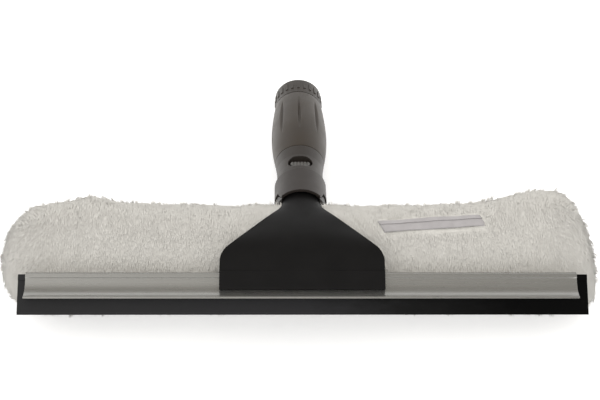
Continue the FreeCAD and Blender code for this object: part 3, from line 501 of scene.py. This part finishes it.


# Lock spring: a hairpin leaf in its rest shape; on the real tool its near leg goes down with the button

SPRING_FOOT = 25.1 * MM
SPRING_BEND = 47.1 * MM
SPRING_NEAR = 3.07 * MM
SPRING_FAR = -7.66 * MM
SPRING_WIDTH = 8.0 * MM
SPRING_THICKNESS = 0.6 * MM
SPRING_EDGE = 0.12 * MM
LEG_STEPS = 16
BEND_STEPS = 24


def spring_path():
    """Height, distance to the front and facing angle along the leaf's middle line."""
    middle, radius = (SPRING_NEAR + SPRING_FAR) / 2, (SPRING_NEAR - SPRING_FAR) / 2
    rise = SPRING_BEND - SPRING_FOOT
    near = [(SPRING_FOOT + rise * step / LEG_STEPS, SPRING_NEAR, 0.0) for step in range(LEG_STEPS)]
    bend = []
    for step in range(BEND_STEPS + 1):
        angle = math.pi * step / BEND_STEPS
        bend.append((SPRING_BEND + radius * math.sin(angle), middle + radius * math.cos(angle), angle))
    far = [(SPRING_BEND - rise * step / LEG_STEPS, SPRING_FAR, math.pi) for step in range(1, LEG_STEPS + 1)]
    return near + bend + far


def add_spring(material):
    """Strip with broken edges swept along the hairpin."""
    half, thick, edge = SPRING_WIDTH / 2, SPRING_THICKNESS / 2, SPRING_EDGE
    strip = [
        (half - edge, thick), (half, thick - edge), (half, edge - thick), (half - edge, -thick),
        (edge - half, -thick), (-half, edge - thick), (-half, thick - edge), (edge - half, thick),
    ]
    points = []
    for height, front, angle in spring_path():
        outward = FRONT * math.cos(angle) + ALONG * math.sin(angle)
        middle = ORIGIN + ALONG * height + FRONT * front
        points += [middle + Vector((side, 0, 0)) + outward * rise for side, rise in strip]
    faces = tube_faces(len(points) // len(strip), len(strip))
    spring = mesh_piece("spring_leaf", points, faces, material, smooth=False)
    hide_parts("lock_spring")
    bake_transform(spring)


# Fleece sleeve: a soft skin over the T-bar

SLEEVE_LEFT = 191.0 * MM
SLEEVE_RIGHT = 188.5 * MM
SLEEVE_HEIGHT = 35.1 * MM
SLEEVE_DEPTH = 23.5 * MM
SLEEVE_DROP = 36.8 * MM
SLEEVE_OFFSET = 6.5 * MM
SECTION_ROUND = 0.86
PILE = 1.3 * MM

# Rounded ends, the ears that stand up near them, and the slant of the right one
LEFT_END = 35 * MM
RIGHT_END = 21 * MM
END_LIMIT = 0.998
END_ROUND_UP = 2.7
END_ROUND_OUT = 3
END_SAG = 2 * MM
LEFT_EAR = 3.8 * MM
LEFT_EAR_AT = -135 * MM
LEFT_EAR_WIDTH = 13 * MM
RIGHT_EAR = 9.0 * MM
RIGHT_EAR_AT = 164 * MM
RIGHT_EAR_WIDTH = 36 * MM
RIGHT_SLANT = 0.12
SLANT_START = 140 * MM
SLANT_RUN = 40 * MM

# Lumps of the washed fleece: height, wave along the sleeve and how it turns round it
WIDE_LUMP = 0.6 * MM
WIDE_WAVE = 19 * MM
WIDE_START = 1.3
WIDE_TURN = 0.7
CLOSE_LUMP = 0.4 * MM
CLOSE_WAVE = 8.3 * MM
CLOSE_TWIST = 31 * MM

# The skin's grid, how it fills out, and where the handle's neck presses it down
GRID_X = 120
GRID_TURN = 72
FLOOR_CLEAR = 0.4 * MM
SWELL_FRAMES = 12
SWELL_QUALITY = 4
SWELL_PRESSURE = 6.0
SWELL_CAP = 2.5 * MM
SWELL_ROOM = 1.2 * MM
NECK_RADIUS = 17.0 * MM
NECK_SLOPE = 5.0 * MM
NECK_FLOOR = -10.0 * MM


def soft_step(value):
    """Smooth rise from 0 to 1."""
    value = np.clip(value, 0, 1)
    return value * value * (3 - 2 * value)


def bump_at(x, middle, width):
    return np.exp(-(((x - middle) / width) ** 2))


def lumps(x, turn):
    """Slow unevenness of the washed fleece."""
    wide = np.sin(x / WIDE_WAVE + WIDE_START) * np.sin(turn + WIDE_TURN)
    close = np.sin(x / CLOSE_WAVE + 2 * np.sin(turn)) * np.sin(2 * turn + x / CLOSE_TWIST)
    return WIDE_LUMP * wide + CLOSE_LUMP * close


def section(turn, height, depth):
    """Up and out of a rounded oval section."""
    cosine, sine = np.cos(turn), np.sin(turn)
    up = np.sign(cosine) * np.abs(cosine) ** SECTION_ROUND * height
    out = np.sign(sine) * np.abs(sine) ** SECTION_ROUND * depth
    return up, out


def half_length(share):
    """Length of the skin to the left or right of its middle."""
    return np.where(share < 0, SLEEVE_LEFT, SLEEVE_RIGHT) - PILE


def to_tool(local):
    """Takes x, up and out of the head's frame to the tool's frame."""
    return local @ np.array([(1, 0, 0), UP_ROW, OUT_ROW]) + ORIGIN_ROW


def sleeve_points(share, turn):
    """Points of the sleeve's skin under the pile; share runs from -1 to 1 along it, turn around it."""
    half = half_length(share)
    x = share * half
    end = np.where(share < 0, LEFT_END, RIGHT_END)
    reach = np.clip((np.abs(x) - (half - end)) / end, 0, END_LIMIT)
    ear = LEFT_EAR * bump_at(x, LEFT_EAR_AT, LEFT_EAR_WIDTH)
    ear = ear + RIGHT_EAR * bump_at(x, RIGHT_EAR_AT, RIGHT_EAR_WIDTH)
    uneven = lumps(x, turn)
    height = (SLEEVE_HEIGHT - PILE + ear / 2 + uneven) * np.sqrt(1 - reach**END_ROUND_UP)
    depth = (SLEEVE_DEPTH - PILE - SWELL_ROOM + uneven) * np.sqrt(1 - reach**END_ROUND_OUT)
    up, out = section(turn, height, depth)
    x = x - RIGHT_SLANT * up * soft_step((x - SLANT_START) / SLANT_RUN)
    centre = ear / 2 - SLEEVE_DROP - END_SAG * reach**2
    return to_tool(np.stack([x, centre + up, SLEEVE_OFFSET + out], -1))


def skin_grid():
    """Rings of points over the whole sleeve, closer together at its ends."""
    share = np.sin(np.linspace(-1, 1, GRID_X + 1) * math.pi / 2)
    turns = np.linspace(0, 2 * math.pi, GRID_TURN, endpoint=False)
    share, turn = np.meshgrid(share, turns, indexing="ij")
    grid = sleeve_points(share, turn)
    grid[..., 2] = np.maximum(grid[..., 2], FLOOR_CLEAR)
    return grid


def grid_normals(grid):
    """Outward directions at the grid's points."""
    along = np.gradient(grid, axis=0)
    around = np.roll(grid, -1, axis=1) - np.roll(grid, 1, axis=1)
    normal = unit(np.cross(around, along), TINY)
    outward = grid - grid.mean(axis=1)[:, None]
    return normal * np.sign((normal * outward).sum())


def on_grid(grid, row, column):
    """Values between the grid's points, with its columns closed into rings."""
    low_row = np.clip(row.astype(int), 0, grid.shape[0] - 2)
    low_column = column.astype(int) % grid.shape[1]
    next_column = (low_column + 1) % grid.shape[1]
    part_row = (row - low_row)[:, None]
    part_column = (column - np.floor(column))[:, None]

    def along_row(line):
        return grid[line, low_column] * (1 - part_column) + grid[line, next_column] * part_column

    return along_row(low_row) * (1 - part_row) + along_row(low_row + 1) * part_row


def filled_out(piece, start):
    """Where the skin's points lie after it fills out as sewn cloth under a little inner pressure."""
    moved = start.copy()
    cloth = piece.modifiers.new("cloth", "CLOTH")
    cloth.settings.quality = SWELL_QUALITY
    cloth.settings.use_pressure = True
    cloth.settings.uniform_pressure_force = SWELL_PRESSURE
    cloth.settings.effector_weights.gravity = 0
    cloth.point_cache.frame_start = 1
    cloth.point_cache.frame_end = SWELL_FRAMES
    for moment in range(1, SWELL_FRAMES + 1):
        scene.frame_set(moment)
    settled = piece.evaluated_get(bpy.context.evaluated_depsgraph_get())
    settled.data.vertices.foreach_get("co", moved)
    piece.modifiers.remove(cloth)
    scene.frame_set(1)
    return moved


def press_at_neck(points):
    """Pushes the skin down where the handle's neck and the T-bar's lugs stand in it."""
    away = points - ORIGIN_ROW
    height = away @ ALONG_ROW
    radius = np.linalg.norm(away - height[:, None] * ALONG_ROW, axis=1)
    share = 1 - soft_step((radius - NECK_RADIUS) / NECK_SLOPE)
    points -= ALONG_ROW * (np.maximum(0, height - NECK_FLOOR) * share)[:, None]


def swell(piece):
    """Fills the skin out by a small way, off the floor and pressed at the neck, and gives its points."""
    start = np.empty(len(piece.data.vertices) * 3)
    piece.data.vertices.foreach_get("co", start)
    way = (filled_out(piece, start) - start).reshape(-1, 3)
    reach = np.linalg.norm(way, axis=1)[:, None]
    way *= np.minimum(1, SWELL_CAP / np.maximum(reach, SMALL))
    points = start.reshape(-1, 3) + way
    points[:, 2] = np.maximum(points[:, 2], FLOOR_CLEAR)
    press_at_neck(points)
    piece.data.vertices.foreach_set("co", points.reshape(-1))
    piece.data.update()
    return points


def add_backing(material, grid):
    """The sleeve's closed skin under the pile; gives the grid of its points once it has filled out."""
    points = [Vector(point) for point in grid.reshape(-1, 3)]
    backing = mesh_piece("sleeve_backing", points, tube_faces(*grid.shape[:2]), material)
    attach(backing, TOOL)
    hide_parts("fleece_sleeve")
    return swell(backing).reshape(grid.shape)


# Care label: a satin strip folded over along its upper edge, its ends sunk in the pile

LABEL_LENGTH = 65.5 * MM
LABEL_WIDTH = 8.6 * MM
LABEL_TURNED = 2.9 * MM
LABEL_FOLD = 0.2 * MM
LABEL_SHEAR = 0.4
LABEL_CLOTH = 0.12 * MM
LABEL_RISE = 1.2 * MM
LABEL_ARCH = 0.25 * MM
LABEL_CURL = 0.15 * MM
LABEL_END_SINK = 0.9 * MM
LABEL_END_POWER = 12
LABEL_STEPS = 56
LOWER_POINTS = 10
FOLD_POINTS = 7
TURNED_POINTS = 6

# Slow wave and short ripple along the strip: height, length, and how the wave runs on across it
WAVE_HEIGHT = 0.22 * MM
WAVE_LENGTH = 6.5 * MM
WAVE_ACROSS = 4 * MM
RIPPLE_HEIGHT = 0.15 * MM
RIPPLE_LENGTH = 2.9 * MM


def label_frame():
    """Middle of the label, and rows of its long, upward and outward directions."""
    points = np.array([tuple(vertex.co) for vertex in nodes["care_label"].data.vertices])
    middle = (points.min(axis=0) + points.max(axis=0)) / 2
    _, _, axes = np.linalg.svd(points - points.mean(axis=0), full_matrices=False)
    long = axes[0] * np.sign(axes[0][0])
    outward = axes[2] * np.sign(axes[2] @ OUT_ROW)
    return middle, np.stack([long, np.cross(outward, long), outward])


def label_profile():
    """Width and height of the folded strip's section, from its lower edge over the fold to its end."""
    half = LABEL_WIDTH / 2
    lower = [(half * share, -LABEL_ARCH * share**2) for share in np.linspace(-1, 1, LOWER_POINTS)]
    fold = [
        (half + LABEL_FOLD * math.sin(angle), LABEL_FOLD * (1 - math.cos(angle)) - LABEL_ARCH)
        for angle in np.linspace(0, math.pi, FOLD_POINTS)[1:]
    ]
    turned = [
        (half - LABEL_TURNED * share, 2 * LABEL_FOLD - LABEL_ARCH + LABEL_CURL * share**3)
        for share in np.linspace(0, 1, TURNED_POINTS)[1:]
    ]
    return lower + fold + turned


def skin_height(tree, centre, axes, long, width):
    """How far the sleeve's skin lies from the label's plane under one of its points."""
    above = 30 * MM
    start = Vector(centre + np.array([long, width, above]) @ axes)
    hit = tree.ray_cast(start, Vector(-axes[2]))
    return above - hit[3]


def add_label(material, grid):
    """The strip follows the skin below it and rests on the pressed pile."""
    centre, axes = label_frame()
    profile = label_profile()
    skin = [Vector(point) for point in grid.reshape(-1, 3)]
    tree = BVHTree.FromPolygons(skin, grid_faces(*grid.shape[:2]))
    points, faces = [], []
    for step in range(LABEL_STEPS + 1):
        share = 2 * step / LABEL_STEPS - 1
        lift = LABEL_RISE - LABEL_END_SINK * abs(share) ** LABEL_END_POWER
        for width, height in profile:
            long = share * LABEL_LENGTH / 2 - LABEL_SHEAR * width
            wave = WAVE_HEIGHT * math.sin(long / WAVE_LENGTH + width / WAVE_ACROSS)
            wave = wave + RIPPLE_HEIGHT * math.sin(long / RIPPLE_LENGTH)
            bed = lift + skin_height(tree, centre, axes, long, min(width, LABEL_WIDTH / 2))
            points.append(Vector(centre + np.array([long, width, height + wave + bed]) @ axes))
    columns = len(profile)
    for row in range(LABEL_STEPS):
        for column in range(columns - 1):
            corner = row * columns + column
            faces.append((corner, corner + columns, corner + columns + 1, corner + 1))
    label = mesh_piece("folded_label", points, faces, material)
    cloth = label.modifiers.new("cloth", "SOLIDIFY")
    cloth.thickness = LABEL_CLOTH
    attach(label, TOOL)
    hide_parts("care_label")


# Pile: many short strands in tufts, combed down the sleeve's sides and back over its top

STRAND_LENGTH = 5.2 * MM
STRAND_RADIUS = 0.29 * MM
STRAND_PITCH = 0.78 * MM
STRAND_LEAN = math.radians(82)
STRAND_SIDES = 3
STRAND_POINTS = 2 * STRAND_SIDES + 1
STRANDS_IN_PIECE = 18000
FLAT_SIDE_TURN = math.pi / 6
BEND_AT = 0.55
BEND_PULL = 0.6
BEND_THICKNESS = 0.9
ROOT_SINK = 0.6 * MM
TUFT_PITCH = 2.3 * MM
TUFT_JITTER = (0.05, 0.95)
TUFT_MARGIN = 3
SECTION_STEPS = 720
PILE_SEED = 7

# How strands differ: from tuft to tuft, within a tuft, and in the loose tufts at the sleeve's edges
TUFT_PULL = 0.1
LOOSE_PULL = 0.3
LOOSE_EDGE = 0.25
WEAK_LEAN = 0.75
TUFT_LEAN = 0.03
LEAN_SPREAD = 0.04
LOOSE_LEAN = (0.5, 0.8)
TUFT_SWAY = 0.1
SWAY_SPREAD = 0.14
TUFT_LENGTH = (0.94, 1.05)
LENGTH_SPREAD = (0.88, 1.08)
LOOSE_LENGTH = (0.6, 1.15)
RADIUS_SPREAD = (0.75, 1.2)

# How the pile lies on the broad faces and on the edges between them
FACING_START = 0.25
FACING_RUN = 0.55
FRONT_BOW = 0.9
EDGE_BOW = 0.75
FRONT_SINK = 0.45 * MM
EDGE_SINK = 0.6
NAP_SHADE = 0.96
NAP_RANGE = 0.8
NAP_BACK = -0.4
EDGE_TILT = 0.35

# Where the pile is combed outward to the ends, and where back over the top
COMB_END_START = 148 * MM
COMB_END_RUN = 42 * MM
COMB_END_SHARE = 0.6
OVER_START = 0.1
OVER_RUN = 0.7
OVER_BACK = -0.1
AROUND_STEP = 0.2

# Room left to the label and to the rigid pieces
LABEL_BED = 0.3 * MM
LABEL_MARGIN = 0.4 * MM
LABEL_PART = 0.5
STRAND_CLEAR = 0.5 * MM
SHORTEST_PART = 0.35
HARD_PARTS = (
    "squeegee_bracket", "blade_channel", "squeegee_rubber", "channel_clamp",
    "hub_collar", "handle_core", "t_bar",
)


def hard_parts():
    """One search tree of the rigid pieces that the pile keeps clear of."""
    points, faces = [], []
    for name in HARD_PARTS:
        mesh = nodes[name].data
        start = len(points)
        points += [vertex.co.copy() for vertex in mesh.vertices]
        faces += [tuple(start + index for index in polygon.vertices) for polygon in mesh.polygons]
    return BVHTree.FromPolygons(points, faces)


def strand_places(random):
    """Jittered share, turn, x and arc length of every strand, evenly over the skin."""
    turns = np.linspace(0, 2 * math.pi, SECTION_STEPS + 1)
    up, out = section(turns, SLEEVE_HEIGHT - PILE, SLEEVE_DEPTH - PILE)
    arcs = np.concatenate([[0], np.cumsum(np.hypot(np.diff(up), np.diff(out)))])
    length = SLEEVE_LEFT + SLEEVE_RIGHT - 2 * PILE
    along, around = int(length / STRAND_PITCH), int(arcs[-1] / STRAND_PITCH)
    column, row = np.meshgrid(np.arange(along), np.arange(around), indexing="ij")
    column = column.ravel() + random.uniform(0, 1, column.size)
    row = row.ravel() + random.uniform(0, 1, row.size)
    x = PILE - SLEEVE_LEFT + column / along * length
    arc = row / around * arcs[-1]
    return x / half_length(x), np.interp(arc, arcs, turns), x, arc


def nearest_tufts(x, arc, random):
    """For every strand, the way to the middle of its tuft in x and arc, and the tuft's number."""
    left = x.min()
    columns = int((x.max() - left) / TUFT_PITCH) + TUFT_MARGIN
    rows = int(arc.max() / TUFT_PITCH) + TUFT_MARGIN
    jitter = random.uniform(*TUFT_JITTER, (columns, rows, 2))
    column = ((x - left) / TUFT_PITCH).astype(int)
    row = (arc / TUFT_PITCH).astype(int)
    best = np.full(x.shape, np.inf)
    middle = np.zeros((x.size, 2))
    number = np.zeros(x.size, int)
    for step_x in (-1, 0, 1):
        for step_arc in (-1, 0, 1):
            near_x = np.clip(column + step_x, 0, columns - 1)
            near_arc = np.clip(row + step_arc, 0, rows - 1)
            shift = jitter[near_x, near_arc]
            way_x = left + (near_x + shift[:, 0]) * TUFT_PITCH - x
            way_arc = (near_arc + shift[:, 1]) * TUFT_PITCH - arc
            distance = way_x**2 + way_arc**2
            closer = distance < best
            best[closer] = distance[closer]
            middle[closer] = np.stack([way_x, way_arc], -1)[closer]
            number[closer] = (near_x * rows + near_arc)[closer]
    return middle, number


def combed(x, outward, random):
    """Direction in which each strand lies, and how firmly: down the sides, back over the top."""
    ends = soft_step((np.abs(x) - COMB_END_START) / COMB_END_RUN) * np.sign(x)
    over = soft_step((outward @ UP_ROW - OVER_START) / OVER_RUN) * (outward @ OUT_ROW > OVER_BACK)
    turned = np.where(random.uniform(0, 1, x.size) < over, 1, -1)
    flow = UP_ROW[None] * ((1 - COMB_END_SHARE * np.abs(ends)) * turned)[:, None]
    flow[:, 0] += ends
    flow -= outward * (flow * outward).sum(axis=1)[:, None]
    return unit(flow, SMALL), np.minimum(np.linalg.norm(flow, axis=1), 1)


def keep_under_label(root, bend, tip, outward):
    """Strands below the label lie flat under it; strands combed towards it stop at its edge."""
    centre, axes = label_frame()
    half = np.array([LABEL_LENGTH / 2, LABEL_WIDTH / 2])
    sheared = axes[0] + LABEL_SHEAR * axes[1]
    flat = np.stack([sheared, axes[1]])
    under = (np.abs((root - centre) @ flat.T) < half + LABEL_MARGIN).all(axis=1)
    inside = (np.abs((tip - centre) @ flat.T) < half).all(axis=1) & ~under
    for part in (bend, tip):
        height = ((part - root) * outward).sum(axis=1) - ROOT_SINK
        part -= outward * np.where(under, np.maximum(0, height - LABEL_BED), 0)[:, None]
        part[inside] = root[inside] + (part[inside] - root[inside]) * LABEL_PART


def keep_clear(tree, root, bend, tip):
    """Shortens strands that would run into a rigid piece, and tells which of all strands stay."""
    stays = np.ones(len(root), bool)
    for index in range(len(root)):
        start, end = Vector(root[index]), Vector(tip[index])
        run = end - start
        hit = tree.ray_cast(start, run.normalized(), run.length + STRAND_CLEAR)
        if hit[0] is not None:
            part = (hit[3] - STRAND_CLEAR) / run.length
            stays[index] = part > SHORTEST_PART
            tip[index] = root[index] + (tip[index] - root[index]) * part
            bend[index] = root[index] + (bend[index] - root[index]) * part
    return stays


def nap_normals(outward):
    """Soft shading directions of the nap, tilted a little to the front or the back on the edges."""
    front = outward @ OUT_ROW
    side = np.where(front > NAP_BACK, 1, -1)
    tilt = EDGE_TILT * (1 - soft_step(np.abs(front) / NAP_RANGE)) * side
    return unit(outward * (1 - np.abs(tilt))[:, None] + OUT_ROW * tilt[:, None])


def strand_triangles(count):
    """Points of the triangles of so many strands: three sides up to the bend, the spike and the foot."""
    top = STRAND_POINTS - 1
    pattern = []
    for corner in range(STRAND_SIDES):
        following = (corner + 1) % STRAND_SIDES
        upper, upper_following = STRAND_SIDES + corner, STRAND_SIDES + following
        pattern.append((corner, following, upper_following))
        pattern.append((corner, upper_following, upper))
        pattern.append((upper, upper_following, top))
    pattern.append(tuple(reversed(range(STRAND_SIDES))))
    starts = np.arange(count)[:, None, None] * STRAND_POINTS
    return (starts + np.array(pattern)[None]).reshape(-1, 3)


def strand_mesh(name, root, bend, tip, radius, outward, material):
    """Slim three-sided spikes from roots over bends to tips, flat side out, shaded softly as one nap."""
    count = len(root)
    ahead = unit(tip - root)
    up = unit(outward - ahead * (outward * ahead).sum(axis=1)[:, None] + NUDGE)
    side = np.cross(up, ahead)
    nap = nap_normals(outward)
    points = np.zeros((count, STRAND_POINTS, 3))
    shade = np.zeros((count, STRAND_POINTS, 3))
    for corner in range(STRAND_SIDES):
        angle = 2 * math.pi * corner / STRAND_SIDES + FLAT_SIDE_TURN
        spoke = side * math.cos(angle) + up * math.sin(angle)
        points[:, corner] = root + spoke * radius[:, None]
        points[:, STRAND_SIDES + corner] = bend + spoke * radius[:, None] * BEND_THICKNESS
        shade[:, corner] = NAP_SHADE * nap + (1 - NAP_SHADE) * spoke
        shade[:, STRAND_SIDES + corner] = shade[:, corner]
    points[:, -1] = tip
    shade[:, -1] = nap
    triangles = strand_triangles(count)
    mesh = bpy.data.meshes.new(name)
    mesh.vertices.add(count * STRAND_POINTS)
    mesh.vertices.foreach_set("co", points.reshape(-1))
    mesh.loops.add(triangles.size)
    mesh.loops.foreach_set("vertex_index", triangles.reshape(-1).astype(np.int32))
    mesh.polygons.add(len(triangles))
    mesh.polygons.foreach_set("loop_start", np.arange(0, triangles.size, 3, dtype=np.int32))
    mesh.polygons.foreach_set("use_smooth", np.ones(len(triangles), bool))
    mesh.update(calc_edges=True)
    mesh.validate()
    mesh.normals_split_custom_set_from_vertices(unit(shade).reshape(-1, 3).tolist())
    return add_mesh(name, mesh, material)


def add_pile(material, tree, grid):
    """Strands all over the filled-out skin, with their roots bedded in it."""
    random = np.random.default_rng(PILE_SEED)
    share, turn, x, arc = strand_places(random)
    middle, number = nearest_tufts(x, arc, random)
    tufts = number.max() + 1

    def by_tuft(draw, *span):
        return draw(*span, tufts)[number]

    def by_strand(draw, *span):
        return draw(*span, x.size)

    row = GRID_X / 2 * (1 + np.arcsin(np.clip(share, -1, 1)) * 2 / math.pi)
    column = turn / (2 * math.pi) * GRID_TURN
    skin = on_grid(grid, row, column)
    outward = unit(on_grid(grid_normals(grid), row, column), TINY)
    around = unit(on_grid(grid, row, (column + AROUND_STEP) % GRID_TURN) - skin, TINY)
    facing = soft_step((np.abs(outward @ OUT_ROW) - FACING_START) / FACING_RUN)
    flow, firm = combed(x, outward, random)
    across = np.cross(outward, flow)

    loose = by_tuft(random.uniform, 0, 1) < LOOSE_EDGE * (1 - facing)
    gathered = np.where(loose, LOOSE_PULL, TUFT_PULL)
    pull = around * (gathered * middle[:, 1])[:, None]
    pull[:, 0] += gathered * middle[:, 0]
    lean = STRAND_LEAN * (WEAK_LEAN + (1 - WEAK_LEAN) * firm)
    lean = lean + by_tuft(random.normal, 0, TUFT_LEAN) + by_strand(random.normal, 0, LEAN_SPREAD)
    lean = np.where(loose, lean * by_tuft(random.uniform, *LOOSE_LEAN), lean)
    sway = by_tuft(random.normal, 0, TUFT_SWAY) + by_strand(random.normal, 0, SWAY_SPREAD)
    length = STRAND_LENGTH * by_tuft(random.uniform, *TUFT_LENGTH)
    length = length * by_strand(random.uniform, *LENGTH_SPREAD)
    length = np.where(loose, length * by_tuft(random.uniform, *LOOSE_LENGTH), length)

    def reached(part, angle):
        rise, run = part * length * np.cos(angle), part * length * np.sin(angle)
        return outward * rise[:, None] + (flow + across * sway[:, None]) * run[:, None]

    bow = EDGE_BOW + (FRONT_BOW - EDGE_BOW) * facing
    sink = np.where(loose, 0, np.maximum(facing, EDGE_SINK))
    skin = skin - outward * (FRONT_SINK * sink)[:, None]
    root = skin - outward * ROOT_SINK
    bend = skin + reached(BEND_AT, bow * lean) + BEND_PULL * pull
    tip = skin + reached(1.0, lean) + pull
    keep_under_label(root, bend, tip, outward)
    for part in (root, bend, tip):
        part[:, 2] = np.maximum(part[:, 2], FLOOR_CLEAR)
    stays = np.flatnonzero(keep_clear(tree, root, bend, tip))
    radius = STRAND_RADIUS * by_strand(random.uniform, *RADIUS_SPREAD)
    for index, start in enumerate(range(0, len(stays), STRANDS_IN_PIECE)):
        part = stays[start:start + STRANDS_IN_PIECE]
        name = f"fleece_pile_{index + 1}"
        piece = strand_mesh(name, root[part], bend[part], tip[part], radius[part], outward[part], material)
        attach(piece, TOOL)


# The whole scene

add_camera()
add_stage()
add_world()
add_fill()

bracket_black = moulded_plastic("bracket_plastic", BRACKET_TONES, gloss=BRACKET_GLOSS, shine=BRACKET_SHINE)
finishes = {
    "hub_collar": moulded_plastic("collar_plastic", COLLAR_TONES),
    "handle_core": moulded_plastic("core_plastic", CORE_TONES),
    "end_band": moulded_plastic("band_plastic", BAND_TONES, edge=BAND_EDGE),
    "squeegee_bracket": bracket_black,
    "channel_clamp": bracket_black,
    # Greyer T-bar plastic: painted highlight on its lugs
    "t_bar": moulded_plastic("bar_plastic", BAR_PAINTED_HIGHLIGHT_TONES),
    "lock_button": grey_plastic(),
    "blade_channel": anodised_aluminium(),
    "squeegee_rubber": blade_rubber(),
}
for node_name, finish in finishes.items():
    paint(nodes[node_name], finish)
add_grip(moulded_plastic("grip_plastic", GRIP_TONES))
add_spring(spring_steel())
skin_points = add_backing(fleece_fibre("fleece_backing"), skin_grid())
add_pile(fleece_fibre("fleece"), hard_parts(), skin_points)
add_label(satin_ribbon(), skin_points)
